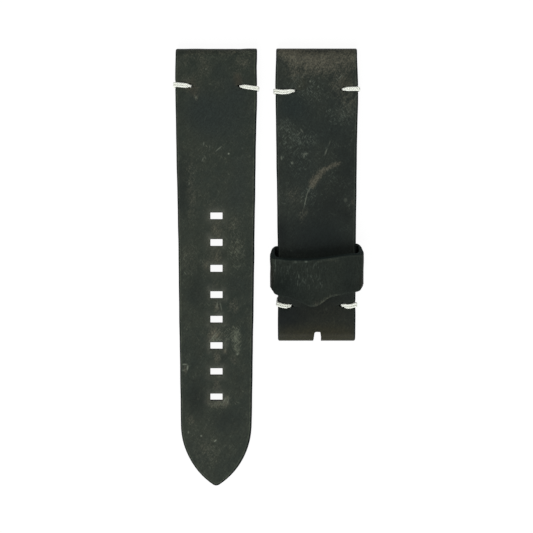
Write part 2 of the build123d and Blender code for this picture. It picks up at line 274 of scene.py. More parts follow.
class Graph:
    """Short calls that add and join the nodes of one material or of the world."""

    def __init__(self, owner: bpy.types.Material | bpy.types.World) -> None:
        """Start with no nodes.

        Args:
            owner: What the nodes belong to.
        """
        self.owner = owner
        owner.use_nodes = True
        self.tree = owner.node_tree
        self.tree.nodes.clear()

    def add(self, kind: str, inputs: dict[str | int, object], **settings: object) -> bpy.types.Node:
        """Add a node.

        Args:
            kind: Its type.
            inputs: A socket to link or a value to set, for each input's name or number.
            **settings: Its properties.

        Returns:
            The node.
        """
        node = self.tree.nodes.new(kind)
        for key, value in settings.items():
            setattr(node, key, value)
        for key, value in inputs.items():
            if isinstance(value, Socket):
                self.tree.links.new(value, node.inputs[key])
            else:
                node.inputs[key].default_value = value
        return node

    def place(self, size: Triple, turn: float = 0.0, centre: Pair = (0.0, 0.0)) -> Socket:
        """Measure object coordinates in steps of size along turned axes.

        Args:
            size: Length of one step along each axis, in millimetres.
            turn: Turn of the axes about Z, in degrees.
            centre: X and Y of their origin, in millimetres.

        Returns:
            The coordinates.
        """
        inputs = {
            "Vector": self.add("ShaderNodeTexCoord", {}).outputs["Object"],
            "Location": (centre[0] * MM, centre[1] * MM, 0),
            "Rotation": (0, 0, math.radians(turn)),
            "Scale": tuple(step * MM for step in size),
        }
        return self.add("ShaderNodeMapping", inputs, vector_type="TEXTURE").outputs["Vector"]

    def noise(
        self, size: Triple, turn: float, detail: float = 2.0, rough: float = 0.5, bend: float = 0.0
    ) -> Socket:
        """Make noise.

        Args:
            size: Size of its blobs along each axis, in millimetres.
            turn: Turn of the axes about Z, in degrees.
            detail: Number of finer noises on top.
            rough: Strength of each next one.
            bend: How far the blobs are bent.

        Returns:
            The noise, about 0.5 in its middle.
        """
        inputs = {"Vector": self.place(size, turn), "Scale": 1.0, "Detail": detail}
        inputs |= {"Roughness": rough, "Distortion": bend}
        return self.add("ShaderNodeTexNoise", inputs).outputs["Fac"]

    def cells(self, size: Triple, turn: float) -> Socket:
        """Return the distance to the nearest point of a random scatter, in steps of size."""
        inputs = {"Vector": self.place(size, turn), "Scale": 1.0}
        return self.add("ShaderNodeTexVoronoi", inputs, feature="F1").outputs["Distance"]

    def reach(self, mark: Mark) -> Socket:
        """Return the distance from a mark's middle, 1 at its rim."""
        inputs = {0: self.place((mark.across, mark.along, 1e3), -mark.turn, spot(mark.px, mark.py))}
        return self.add("ShaderNodeVectorMath", inputs, operation="LENGTH").outputs["Value"]

    def attribute(self, name: str) -> Socket:
        """Return a value that the mesh holds at its vertices."""
        return self.add("ShaderNodeAttribute", {}, attribute_name=name).outputs["Fac"]

    def math(self, kind: str, first: object, second: object) -> Socket:
        """Return the result of one of Blender's math operations on two values."""
        return self.add("ShaderNodeMath", {0: first, 1: second}, operation=kind).outputs[0]

    def plus(self, first: object, second: object) -> Socket:
        """Return the sum of two values."""
        return self.math("ADD", first, second)

    def times(self, first: object, second: object) -> Socket:
        """Return the product of two values."""
        return self.math("MULTIPLY", first, second)

    def most(self, first: object, second: object) -> Socket:
        """Return the higher of two values."""
        return self.math("MAXIMUM", first, second)

    def swing(self, value: Socket, middle: float, gain: float) -> Socket:
        """Return how far a value lies above its middle, times a gain."""
        return self.times(self.math("SUBTRACT", value, middle), gain)

    def span(self, value: Socket, start: float, end: float, low: float = 0.0, high: float = 1.0) -> Socket:
        """Map a value smoothly.

        Args:
            value: The value.
            start: Value that gives low.
            end: Value that gives high.
            low: Result at start and before it.
            high: Result at end and past it.

        Returns:
            The result.
        """
        inputs = {"Value": value, "From Min": start, "From Max": end, "To Min": low, "To Max": high}
        return self.add("ShaderNodeMapRange", inputs, interpolation_type="SMOOTHSTEP").outputs["Result"]

    def mix(self, share: object, first: object, second: object, blend: str = "MIX") -> Socket:
        """Mix two colours.

        Args:
            share: Share of the second.
            first: A socket, or a display colour of 0 to 255.
            second: The same.
            blend: How the second goes over the first.

        Returns:
            The colour.
        """
        first, second = (paint(*value) if isinstance(value, tuple) else value for value in (first, second))
        inputs = {"Factor": share, 6: first, 7: second}
        return self.add("ShaderNodeMix", inputs, data_type="RGBA", blend_type=blend).outputs[2]

    def bump(self, height: Socket, depth: float, strength: float, **below: Socket) -> Socket:
        """Make the normals of a relief.

        Args:
            height: The relief, from 0 to 1.
            depth: Its depth in millimetres.
            strength: How strongly it shows.
            **below: Normals that it lies on, as Normal, if not the mesh's.

        Returns:
            The normals.
        """
        inputs = {"Strength": strength, "Distance": depth * MM, "Height": height, **below}
        return self.add("ShaderNodeBump", inputs).outputs["Normal"]

    def finish(
        self, shader: bpy.types.Node, kind: str = "Material"
    ) -> bpy.types.Material | bpy.types.World:
        """Send a shader to the output and return what the nodes belong to."""
        self.add(f"ShaderNodeOutput{kind}", {"Surface": shader.outputs[0]})
        return self.owner


@dataclass(frozen=True)
class WaxedLeather:
    """Near-black green waxed leather that pales and browns where it is bent or worn.

    Attributes:
        name: The material's name.
        ground: Its dark, bluer colour.
        cloud: Its paler, more olive colour.
        teal: Its darkest, bluest colour, also that of painted shade.
        rub_and_highlight_colour: Brown-grey colour of worn places, and on the keeper of the painted
            highlight along its rims.
        scuff_and_highlight_colour: Pale green-grey colour of scuffs, and of the painted highlights along
            the edges and on crease crests.
        stained: Brown colour round the awl holes and where wax has gathered.
        punched: Pale grey colour round the adjustment holes.
        nicked: Pale colour of nicks.
        shaded: Colour of dark places, painted shade among them.
        painted: Colour of the painted edges.
        fibre_turn: Lean of the grain's fibres from the strap's length, in degrees.
        paint_reach: How far the edge paint comes in from the edge, in millimetres.
        creased: How strongly fine creases show, in relief and as a painted highlight on their crests.
        rim_highlight: How strongly the painted highlight on the line just inside the edges shows.
        flecked: How strongly fine pale scratches show all over.
        shine: Strength of the mirror-like reflections.
        nicks: Pale nicks and scratches that are finer than the mesh.
    """

    name: str
    ground: Triple = (37, 44, 38)
    cloud: Triple = (45, 50, 42)
    teal: Triple = (36, 43, 40)
    rub_and_highlight_colour: Triple = (84, 82, 70)
    scuff_and_highlight_colour: Triple = (84, 89, 76)
    stained: Triple = (60, 53, 42)
    punched: Triple = (112, 112, 100)
    nicked: Triple = (110, 116, 103)
    shaded: Triple = (13, 19, 18)
    painted: Triple = (13, 19, 18)
    fibre_turn: float = -28.0
    paint_reach: float = 0.27
    creased: float = 0.0
    rim_highlight: float = 0.34
    flecked: float = 0.5
    shine: float = 0.14
    nicks: tuple[Mark, ...] = ()

    def material(self) -> bpy.types.Material:
        """Build the leather's nodes.

        Returns:
            The material.
        """
        g = Graph(bpy.data.materials.new(self.name))
        clouds = g.noise((10, 15, 10), 12, 3, 0.55, 0.4)
        mottle = g.noise((1.9, 2.7, 1.9), self.fibre_turn, 3, 0.6)
        fibres = g.noise((0.3, 1.5, 0.3), self.fibre_turn, 2, 0.55, 0.2)
        strays = g.noise((0.36, 1.0, 0.36), -self.fibre_turn * 1.5, 2, 0.55)
        dust = g.noise((0.33, 0.38, 0.33), 0, 2, 0.6)
        crease = g.noise((0.26, 1.5, 0.6), -7, 2, 0.5, 0.5)
        scratch = g.noise((0.2, 1.3, 0.2), 42, 1, 0.5, 0.2)
        scratch = g.most(scratch, g.noise((0.2, 1.1, 0.2), -36, 1, 0.5, 0.2))
        streak = g.plus(g.times(fibres, 0.65), g.times(strays, 0.35))
        grain = g.plus(g.times(streak, 0.5), g.times(dust, 0.5))
        tone = g.plus(g.times(clouds, 0.55), g.times(mottle, 0.45))
        rim, punch = g.attribute("rim"), g.attribute("punch")

        colour = g.mix(g.span(tone, 0.34, 0.66), self.ground, self.cloud)
        # Dark, bluer places, among them painted shade above the keeper on the buckle half.
        teal = g.plus(g.attribute("teal"), g.swing(tone, 0.5, 0.9))
        colour = g.mix(g.span(teal, 0.0, 1.1), colour, self.teal)
        colour = g.mix(self.ragged(g, grain, mottle), colour, self.rub_and_highlight_colour)

        ring = g.plus(g.swing(g.plus(streak, dust), 1.0, 5.5), g.swing(mottle, 0.5, 5.0))
        ring = g.plus(punch, ring)
        halo = g.most(g.span(ring, -0.6, 2.1, 0.42, 0.0), g.span(ring, -0.9, 0.7, 0.8, 0.0))
        halo = g.times(halo, g.span(punch, 1.6, 3.0, 1.0, 0.0))
        colour = g.mix(g.times(halo, g.span(grain, 0.42, 0.6, 0.2, 1.0)), colour, self.punched)

        # Painted highlight on the line just inside the cut edges, where the rounded edge turns.
        band = g.times(g.span(rim, 0.3, 0.4), g.span(rim, 0.68, 0.5))
        band = g.times(band, g.span(mottle, 0.35, 0.6, 0.4 * self.rim_highlight, self.rim_highlight))
        fleck = g.times(g.span(scratch, 0.6, 0.8, 0.0, self.flecked), g.span(mottle, 0.4, 0.6))
        fleck = g.times(fleck, g.span(teal, 0.1, 0.8, 1.0, 0.35))
        # Painted highlight on the crests of the fine creases.
        crest = g.times(g.attribute("crease"), g.span(crease, 0.54, 0.7, 0.0, self.creased))
        # Scuffs and flecks, with the painted edge and crease highlights, all in the scuffs' pale colour.
        for share in (band, self.scratched(g, scratch), fleck, crest):
            colour = g.mix(share, colour, self.scuff_and_highlight_colour)
        for nick in self.nicks:
            away = g.plus(g.reach(nick), g.swing(grain, 0.5, 1.6))
            colour = g.mix(g.span(away, 1.0, 0.3, 0.0, 0.6 * nick.strength), colour, self.nicked)

        # Dark places, among them painted shade round the keeper on the buckle half.
        colour = g.mix(g.times(g.attribute("shade"), 0.9), colour, self.shaded)
        stain = g.attribute("stain")
        share = g.times(g.span(g.plus(stain, g.swing(grain, 0.5, 0.8)), 0.0, 1.2), g.span(stain, 0.0, 0.3))
        colour = g.mix(share, colour, self.stained)
        colour = g.mix(1.0, colour, g.span(grain, 0.34, 0.66, 0.76, 1.24), "MULTIPLY")
        edge = g.math("MINIMUM", g.plus(rim, g.swing(mottle, 0.5, 0.12)), g.times(punch, 3.0))
        painted = g.span(edge, self.paint_reach - 0.08, self.paint_reach + 0.06, 1.0, 0.0)
        colour = g.mix(painted, colour, self.painted)

        normal = g.bump(mottle, 0.12, 0.3)
        normal = g.bump(crease, 0.1, 0.8 * self.creased, Normal=normal)
        normal = g.bump(grain, 0.06, 0.5, Normal=normal)
        pores = g.span(g.cells((0.55, 0.7, 0.55), 8), 0.0, 0.3)
        inputs = {
            "Base Color": colour,
            "Roughness": g.plus(g.span(tone, 0.3, 0.7, 0.54, 0.66), g.times(painted, 0.25)),
            "Normal": g.bump(pores, 0.02, 0.4, Normal=normal),
            "Specular IOR Level": self.shine,
        }
        return g.finish(g.add("ShaderNodeBsdfPrincipled", inputs))

    @staticmethod
    def ragged(g: Graph, grain: Socket, mottle: Socket) -> Socket:
        """Break the rubs' and painted highlights' soft edges and middles into fine streaks and specks.

        Args:
            g: The material's graph.
            grain: Fine streaks and specks, about 0.5 in the middle of their range.
            mottle: Wider blotches, the same.

        Returns:
            How strongly the rubs and painted highlights show.
        """
        # Rubs, and on the keeper the painted highlight along its rims.
        rub_and_highlight = g.attribute("rub_and_highlight")
        noise = g.plus(g.times(grain, 2.3), g.times(mottle, 0.8))
        noise = g.times(g.math("SUBTRACT", noise, 1.55), g.span(rub_and_highlight, 0.0, 0.3))
        return g.times(g.span(g.plus(rub_and_highlight, noise), 0.0, 1.3), g.span(grain, 0.4, 0.6, 0.74, 1.0))

    @staticmethod
    def scratched(g: Graph, scratch: Socket) -> Socket:
        """Break the scuffs into short crossing scratches, more of them where they are stronger.

        Args:
            g: The material's graph.
            scratch: Crossing scratches, about 0.6 in the middle of their range.

        Returns:
            How strongly the scuffs show.
        """
        scuff = g.attribute("scuff")
        noise = g.times(g.swing(scratch, 0.59, 3.5), g.span(scuff, 0.0, 0.25))
        return g.span(g.plus(scuff, noise), 0.1, 1.3)


@dataclass(frozen=True)
class LiningLeather:
    """Matt brown lining leather with dark painted edges.

    Attributes:
        name: The material's name.
        ground: Main colour.
        cloud: Colour of its paler clouds.
        painted: Colour of the painted edges.
    """

    name: str
    ground: Triple = (98, 74, 54)
    cloud: Triple = (126, 99, 74)
    painted: Triple = (22, 24, 22)

    def material(self) -> bpy.types.Material:
        """Build the lining's nodes.

        Returns:
            The material.
        """
        g = Graph(bpy.data.materials.new(self.name))
        clouds = g.noise((7, 11, 7), -9, 4, 0.6, 0.5)
        pebble = g.cells((0.75, 0.9, 0.75), 15)
        fine = g.noise((0.3, 0.4, 0.3), 0, 2, 0.6)
        tone = g.plus(g.times(clouds, 0.7), g.times(fine, 0.3))
        colour = g.mix(g.span(tone, 0.35, 0.66), self.ground, self.cloud)
        colour = g.mix(g.span(pebble, 0.45, 0.7, 0.0, 0.35), colour, self.ground)
        relief = g.bump(g.span(pebble, 0.1, 0.6, 1.0, 0.0), 0.05, 0.45)
        inputs = {
            "Base Color": g.mix(g.span(g.attribute("rim"), 0.25, 0.42, 1.0, 0.0), colour, self.painted),
            "Roughness": g.span(clouds, 0.3, 0.7, 0.62, 0.78),
            "Normal": g.bump(fine, 0.02, 0.4, Normal=relief),
            "Specular IOR Level": 0.3,
        }
        return g.finish(g.add("ShaderNodeBsdfPrincipled", inputs))


@dataclass(frozen=True)
class WaxedThread:
    """Waxed off-white twisted thread, with painted shade, darker and greener, between its plies.

    Attributes:
        name: The material's name.
        crest: Colour on top of the plies.
        shade_and_soil: Colour of the painted shade between them, also laid over soiled places.
    """

    name: str
    crest: Triple = (248, 250, 243)
    shade_and_soil: Triple = (176, 182, 160)

    def material(self) -> bpy.types.Material:
        """Build the thread's nodes.

        Returns:
            The material.
        """
        g = Graph(bpy.data.materials.new(self.name))
        fibres = g.noise((0.06, 0.16, 0.06), 20, 2, 0.6)
        soil = g.noise((0.9, 0.9, 0.9), 0, 2, 0.5)
        ply = g.plus(g.attribute("ply"), g.swing(fibres, 0.5, 0.5))
        # Painted shade between the plies, darkest where a vertex lies furthest in on its ply.
        colour = g.mix(g.span(ply, 0.05, 0.75), self.shade_and_soil, self.crest)
        inputs = {
            "Base Color": g.mix(g.span(soil, 0.52, 0.72, 0.0, 0.3), colour, self.shade_and_soil),
            "Roughness": 0.62,
            "Normal": g.bump(fibres, 0.02, 0.5),
            "Specular IOR Level": 0.35,
            "Sheen Weight": 0.15,
            "Sheen Roughness": 0.5,
        }
        return g.finish(g.add("ShaderNodeBsdfPrincipled", inputs))


class Finishes:
    """The materials that the pieces share, each built once."""

    def __init__(self) -> None:
        """Build every material."""
        self.hole_half = WaxedLeather(
            "waxed_leather",
            nicks=marks(
                (204, 144.5, 0.75, 0.22, 0.55, 4), (210, 147.3, 0.6, 0.2, 0.4, 10),
                (218.3, 149.8, 1.25, 0.2, 0.7, 48), (220.5, 148.4, 0.8, 0.18, 0.5, 44),
                (228.8, 154.2, 0.33, 0.33, 1.6), (203, 160, 0.85, 0.22, 0.65, 22),
                (205.6, 158.5, 0.5, 0.2, 0.5, -40), (189.4, 184, 0.6, 0.26, 0.6, 20),
                (217.2, 305.2, 1.3, 0.24, 0.7, 4), (221, 306.4, 1.6, 0.22, 0.6, -11),
                (214, 336, 2, 0.3, 0.6, 38), (218, 339, 1.6, 0.26, 0.5, 42),
                (224.6, 399.6, 1.3, 0.24, 0.6, 24), (228.2, 400.6, 1.2, 0.22, 0.5, 8),
                (237.4, 354, 0.45, 0.4, 0.9), (187.6, 367.6, 1, 0.3, 1.3, 8),
                (184.8, 364.2, 0.3, 0.9, 1), (183.4, 370.2, 0.3, 0.6, 0.5),
                (188.5, 432, 0.6, 0.3, 0.8, 8), (201.3, 435.6, 0.36, 0.32, 1),
                (215.3, 440.5, 0.62, 0.26, 1.4, 50), (196.4, 98.3, 0.55, 0.3, 0.7),
                (206.4, 70.2, 0.4, 0.36, 0.45),
            ),
        ).material()
        self.buckle_half = WaxedLeather(
            "waxed_leather_dark",
            ground=(34, 40, 36),
            cloud=(40, 45, 39),
            teal=(30, 38, 36),
            scuff_and_highlight_colour=(78, 86, 77),
            stained=(40, 39, 26),
            flecked=0.65,
            nicks=marks(
                (310, 82.4, 0.4, 0.34, 0.9), (318.6, 79, 0.3, 0.3, 0.45), (340, 78, 1, 0.2, 0.75, 42),
                (336.4, 80.5, 0.7, 0.2, 0.5, -40), (299.3, 87.4, 0.4, 0.3, 0.9, 60),
                (281.4, 158.6, 0.8, 0.3, 0.75, -6), (291.8, 163.7, 0.5, 0.45, 0.8),
                (305.5, 154.4, 0.4, 1, 0.6), (303.8, 156.6, 0.7, 0.3, 0.6, 10),
                (329.2, 143.6, 0.9, 0.2, 0.45, 20), (325.6, 152.4, 1.4, 0.26, 0.75, 20),
                (301.5, 131.4, 1, 0.3, 0.5, -35), (298.6, 134.6, 1, 0.26, 0.5, 40),
                (305.5, 200.3, 3.3, 0.22, 0.85, 13), (308.6, 190.8, 1.4, 0.24, 0.7, 26),
                (345, 200.3, 0.8, 0.7, 0.5), (326, 309, 0.6, 0.4, 0.5),
            ),
        ).material()
        self.keeper = WaxedLeather(
            "keeper_leather",
            ground=(33, 38, 34),
            cloud=(38, 43, 38),
            teal=(26, 32, 30),
            painted=(33, 41, 39),
            # On the keeper this brown is also the painted highlight along its rims.
            rub_and_highlight_colour=(64, 66, 56),
            scuff_and_highlight_colour=(70, 78, 70),
            nicked=(90, 98, 89),
            stained=(46, 41, 36),
            fibre_turn=-6.0,
            paint_reach=0.12,
            creased=0.42,
            rim_highlight=0.15,
            flecked=0.0,
            shine=0.05,
            nicks=marks(
                (295, 262.2, 0.5, 0.5, 0.5), (305.4, 261.8, 0.4, 0.6, 0.9),
                (298.3, 276, 0.9, 0.22, 0.6, -3), (306.6, 270, 0.8, 0.2, 0.4, 2),
                (312.8, 266.6, 1, 0.2, 0.45, 14), (310.4, 276.6, 0.6, 0.2, 0.55, -30),
                (312.2, 280.4, 0.7, 0.2, 0.5, -14), (319.6, 283.4, 0.7, 0.2, 0.55, -24),
                (321, 285.8, 0.7, 0.2, 0.45, 16), (297, 284, 0.7, 0.2, 0.4, 6),
                (303.4, 281.8, 0.6, 0.2, 0.4, -28), (287.4, 270.8, 0.5, 0.2, 0.4, -30),
                (275.2, 263.4, 1.6, 0.22, 0.5), (275, 270.6, 0.8, 0.22, 0.5, 4),
            ),
        ).material()
        self.lining = LiningLeather("lining_leather_matt").material()
        self.thread = WaxedThread("waxed_thread").material()


class Skin:
    """A node's mesh cut into a fine grid, so that it can be bent, dented and marked."""

    def __init__(self, node: str, steps: dict[str, float]) -> None:
        """Copy and cut the node's mesh.

        Args:
            node: The CAD node that the mesh is copied from.
            steps: Distance between cuts along each axis, in millimetres.
        """
        self.mesh = bpy.data.meshes.new(f"{node}_skin")
        grid = bmesh.new()
        grid.from_mesh(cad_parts[node].data)
        bmesh.ops.remove_doubles(grid, verts=grid.verts, dist=WELD)
        bmesh.ops.dissolve_limit(
            grid, angle_limit=5e-4, verts=grid.verts, edges=grid.edges, delimit={"NORMAL"}
        )
        low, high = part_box(node)
        self.levels: dict[str, list[float]] = {}
        for axis, step in steps.items():
            across = "xyz".index(axis)
            count = round((high[across] - low[across]) / (step * MM))
            width = (high[across] - low[across]) / MM
            self.levels[axis] = [low[across] / MM + width * cut / count for cut in range(1, count)]
            normal = Vector([float(index == across) for index in range(3)])
            for cut in range(1, count):
                bmesh.ops.bisect_plane(
                    grid,
                    geom=grid.verts[:] + grid.edges[:] + grid.faces[:],
                    dist=WELD,
                    plane_co=Vector(low).lerp(Vector(high), cut / count),
                    plane_no=normal,
                )
        bmesh.ops.remove_doubles(grid, verts=grid.verts, dist=MM * 2e-3)
        grid.to_mesh(self.mesh)
        grid.free()
        self.mesh.shade_smooth()
        self.mesh.set_sharp_from_angle(angle=SHARP_EDGE)

    def points(self) -> np.ndarray:
        """Read the vertices' places.

        Returns:
            One row for each, in millimetres.
        """
        flat = np.empty(len(self.mesh.vertices) * 3)
        self.mesh.vertices.foreach_get("co", flat)
        return flat.reshape(-1, 3) / MM

    def move(self, points: np.ndarray) -> None:
        """Put the vertices at new places in millimetres."""
        self.mesh.vertices.foreach_set("co", (points * MM).ravel())
        self.mesh.update()

    def hold(self, name: str, values: np.ndarray) -> None:
        """Keep one number for each vertex, for the materials to read."""
        hold(self.mesh, name, values)


def hold(mesh: bpy.types.Mesh, name: str, values: np.ndarray) -> None:
    """Keep one number for each of a mesh's vertices, under a name that materials can read."""
    layer = mesh.attributes.new(name, "FLOAT", "POINT")
    layer.data.foreach_set("value", values.astype(np.float32))


def link(name: str, data: bpy.types.ID) -> bpy.types.Object:
    """Add an object to the scene.

    Args:
        name: Its name.
        data: Its mesh, curve, lamp or camera.

    Returns:
        The object.
    """
    thing = bpy.data.objects.new(name, data)
    bpy.context.collection.objects.link(thing)
    return thing


def dress(mesh: bpy.types.Mesh, node: str, body: str, slot: Slot, material: bpy.types.Material) -> None:
    """Make a mesh a piece of the object.

    Args:
        mesh: Its mesh.
        node: The CAD node that it stands for.
        body: The CAD body that it moves with.
        slot: The record's slot that its finish comes from.
        material: Its material.
    """
    mesh.materials.clear()
    mesh.materials.append(material)
    piece = link(f"{node}_{'thread' if slot is Slot.THREAD else 'skin'}", mesh)
    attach(piece, body)
    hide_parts(node)
    counts = len(mesh.vertices), len(mesh.polygons)
    log.info("%s: %d vertices, %d faces, rides on %s", piece.name, *counts, body)


def smooth_route(points: list[Vector], per_point: int = 10) -> list[Vector]:
    """Find points along a smooth curve near a route.

    Args:
        points: The route's points, in metres.
        per_point: Points on the curve for each of them.

    Returns:
        The curve's points, evenly spaced.
    """
    curve = bpy.data.curves.new("route", "CURVE")
    curve.dimensions = "3D"
    curve.resolution_u = per_point
    spline = curve.splines.new("NURBS")
    spline.points.add(len(points) - 1)
    for point, place in zip(spline.points, points):
        point.co = (*place, 1.0)
    spline.order_u = 3
    spline.use_endpoint_u = True
    holder = bpy.data.objects.new("route", curve)
    mesh = bpy.data.meshes.new_from_object(holder)
    line = np.array([vertex.co for vertex in mesh.vertices])
    bpy.data.objects.remove(holder)
    bpy.data.curves.remove(curve)
    bpy.data.meshes.remove(mesh)
    run = np.concatenate([[0], np.cumsum(np.linalg.norm(np.diff(line, axis=0), axis=1))])
    even = np.linspace(0, run[-1], len(line))
    return [Vector(place) for place in np.stack([np.interp(even, run, axis) for axis in line.T], axis=1)]


def twisted_thread(
    name: str, points: list[Vector], diameter: float, plies: int = 3, lay: float = 2.3, corners: int = 8
) -> bpy.types.Mesh:
    """Sweep a thread of twisted plies along a route.

    Args:
        name: The mesh's name.
        points: The route's points, in metres.
        diameter: The thread's diameter, in millimetres.
        plies: Number of plies.
        lay: Length of one turn of the twist, in diameters.
        corners: Points round each ply.

    Returns:
        The thread's mesh, which holds how far out on its ply each vertex lies.
    """
    radius = diameter / 2 * MM
    ring = corners * plies
    inner = 0.74
    section = bpy.data.curves.new(f"{name}_section", "CURVE")
    section.dimensions = "2D"
    outline = section.splines.new("POLY")
    outline.points.add(ring - 1)
    outline.use_cyclic_u = True
    for index, point in enumerate(outline.points):
        crest = abs(math.cos(math.pi * index / corners)) ** 0.8
        angle, reach = math.tau * index / ring, radius * (inner + (1 - inner) * crest)
        point.co = (reach * math.cos(angle), reach * math.sin(angle), 0, 1)
    shape = link(f"{name}_section", section)

    line = smooth_route(points)
    curve = bpy.data.curves.new(name, "CURVE")
    curve.dimensions = "3D"
    curve.twist_mode = "MINIMUM"
    curve.bevel_mode = "OBJECT"
    curve.bevel_object = shape
    curve.use_fill_caps = True
    path = curve.splines.new("POLY")
    path.points.add(len(line) - 1)
    run = 0.0
    for index, place in enumerate(line):
        run += (place - line[index - 1]).length if index else 0.0
        path.points[index].co = (*place, 1.0)
        path.points[index].tilt = math.tau * run / (lay * diameter * MM)
    holder = link(name, curve)
    bpy.context.view_layer.update()
    tube = bpy.data.meshes.new_from_object(holder.evaluated_get(bpy.context.evaluated_depsgraph_get()))
    for thing in (holder, shape):
        bpy.data.objects.remove(thing)
    for thing in (curve, section):
        bpy.data.curves.remove(thing)

    solid = bmesh.new()
    solid.from_mesh(tube)
    bmesh.ops.remove_doubles(solid, verts=solid.verts, dist=WELD)
    bmesh.ops.recalc_face_normals(solid, faces=solid.faces)
    mesh = bpy.data.meshes.new(name)
    solid.to_mesh(mesh)
    solid.free()
    bpy.data.meshes.remove(tube)
    mesh.shade_smooth()
    places = np.array([vertex.co for vertex in mesh.vertices])
    away = np.linalg.norm(places[:, None, :] - np.array(line)[None, :, :], axis=2).min(axis=1)
    hold(mesh, "ply", np.clip((away / radius - inner - 0.02) / 0.24, 0, 1))
    return mesh


@dataclass(frozen=True)
class Stitch:
    """One thread taken twice round a strap's edge through an awl hole.

    Attributes:
        node: The CAD node that it stands for.
        hole: X and Y of the awl hole, in millimetres.
        side: The edge that it goes round.
        turn: Its slant in degrees, positive where its outer end is nearer the lug end.
        reach: Distance from the hole to the edge along the stitch.
        bow: How far the middle of the stitch bends towards the lug end, or away where negative.
        run_under: How much further towards the lug end the thread comes up from below the edge.
        shift: How far the whole stitch lies off its CAD place, towards the lug end.
        thread: The thread's diameter.
        pitch: Distance between its two turns.
        mid: Height of the middle of the leather there.
        top: Height of its front.
        bottom: Height of its back.
        dent: How deep the thread presses into the front and the back.
        notch: How deep it presses into the edge.
        dive: How far out from the hole's middle it goes down.
        close: How close its turns lie there, as a share of their pitch.
    """

    node: str
    hole: Pair
    side: Side
    turn: float
    reach: float
    bow: float = 0.0
    run_under: float = 0.0
    shift: float = 0.0
    thread: float = 0.66
    pitch: float = 0.62
    mid: float = 3.0
    top: float = 4.4
    bottom: float = 1.6
    dent: float = 0.17
    notch: float = 0.12
    dive: float = 0.55
    close: float = 0.3

    def axes(self) -> tuple[np.ndarray, np.ndarray]:
        """Find the stitch's directions.

        Returns:
            Out to the edge, and across the stitch, both with no Z.
        """
        turn = math.radians(self.turn)
        out = np.array([self.side.value * math.cos(turn), math.sin(turn)])
        return out, np.array([-out[1], out[0]])

    def press(self, points: np.ndarray) -> np.ndarray:
        """Press the leather in under the thread and draw it round the awl hole.

        Args:
            points: Places in millimetres.

        Returns:
            The places, moved.
        """
        out, across = self.axes()
        flat = points[:, :2] - np.array(self.hole)
        u, v = flat @ out, flat @ across
        share = np.clip(u / self.reach, 0, 1)
        below = points[:, 2] < self.mid
        off = self.shift * self.side.value
        lower = self.pitch * (1 - u / self.reach / 2) + self.run_under * self.side.value * share
        line = off + np.where(below, lower, self.bow * self.side.value * np.sin(share * math.pi))
        along = ease(u, 0.1, 0.9) * (u < self.reach + 1)
        wide = ease(np.abs(v - line), self.pitch + 0.75, self.pitch * 0.62)
        surface = ease(np.abs(points[:, 2] - self.mid), 0.5, 1.3)
        moved = points.copy()
        moved[:, 2] -= np.where(below, -1, 1) * self.dent * along * wide * surface
        inward = self.notch * ease(u, self.reach - 1.1, self.reach) * (u < self.reach + 1) * wide
        moved[:, :2] -= inward[:, None] * out
        centre = np.where(below, 1.04, 0.0)
        near = ease(np.hypot(u, v - centre), 2.6, 1.3)
        pinch = 0.3 + 0.6 * ease(u, 0.35, -0.5)
        moved[:, :2] += ((off - pinch * (v - centre)) * near)[:, None] * across
        moved[:, :2] += (self.dive * 0.8 * near)[:, None] * out
        tail = ease(np.hypot((u + 0.1) / 1.1, (v - centre) / 0.8), 1.0, 0.3) * surface
        moved[:, 2] -= np.where(below, -0.18, 0.18) * tail
        return moved

    def route(self) -> list[Triple]:
        """Lay out the thread's two turns.

        Returns:
            Points out from the awl hole, across the stitch and up, in millimetres.
        """
        high = self.top - self.dent + self.thread / 2 - 0.04
        low = self.bottom + self.dent - self.thread / 2 + 0.04
        far = self.reach - self.notch + self.thread / 2 + 0.02
        bow = self.bow * self.side.value
        under = self.run_under * self.side.value
        dive, close = self.dive, self.close
        route = [(dive, -self.pitch / 2 * close, self.mid)]
        for start, stop in ((-1, 1), (1, 3)):
            first, last = start * self.pitch / 2, stop * self.pitch / 2
            route += [
                (dive, first * close, high - 0.95),
                (dive + 0.15, first * close, high - 0.55),
                (dive + 0.55, first * close + bow * 0.15, high - 0.34),
                (dive + 1.05, first * max(close, 0.8) + bow * 0.4, high - 0.08),
                (far * 0.4, first + bow * 0.8, high),
                (far * 0.68, first + bow * 0.9, high),
                (far - 0.55, first + bow * 0.2, high),
                (far - 0.08, first, high - 0.08),
                (far + 0.02, first + under * 0.15, high - 0.65),
                (far, first + under * 0.8, low + 0.65),
                (far - 0.06, first + under + 0.05, low + 0.1),
                (far - 0.6, first + under + 0.1, low),
                (far * 0.5, (first + last + under) / 2, low),
                (0.8, last + 0.3, low),
                (0.35, last + 0.4, low + 0.2),
                (dive, last * close + 0.2, low + 0.9),
            ]
        return [*route, (dive, 3 * self.pitch / 2 * close, self.mid - 0.2)]

    def build(self, body: str, material: bpy.types.Material) -> None:
        """Lay the thread along its route.

        Args:
            body: The CAD body that it moves with.
            material: Its material.
        """
        out, across = self.axes()
        places = []
        for u, v, z in self.route():
            x, y = np.array(self.hole) + out * u + across * (v + self.shift * self.side.value)
            places.append(Vector((x, y, z)) * MM)
        mesh = twisted_thread(f"{self.node}_thread", places, self.thread)
        dress(mesh, self.node, body, Slot.THREAD, material)


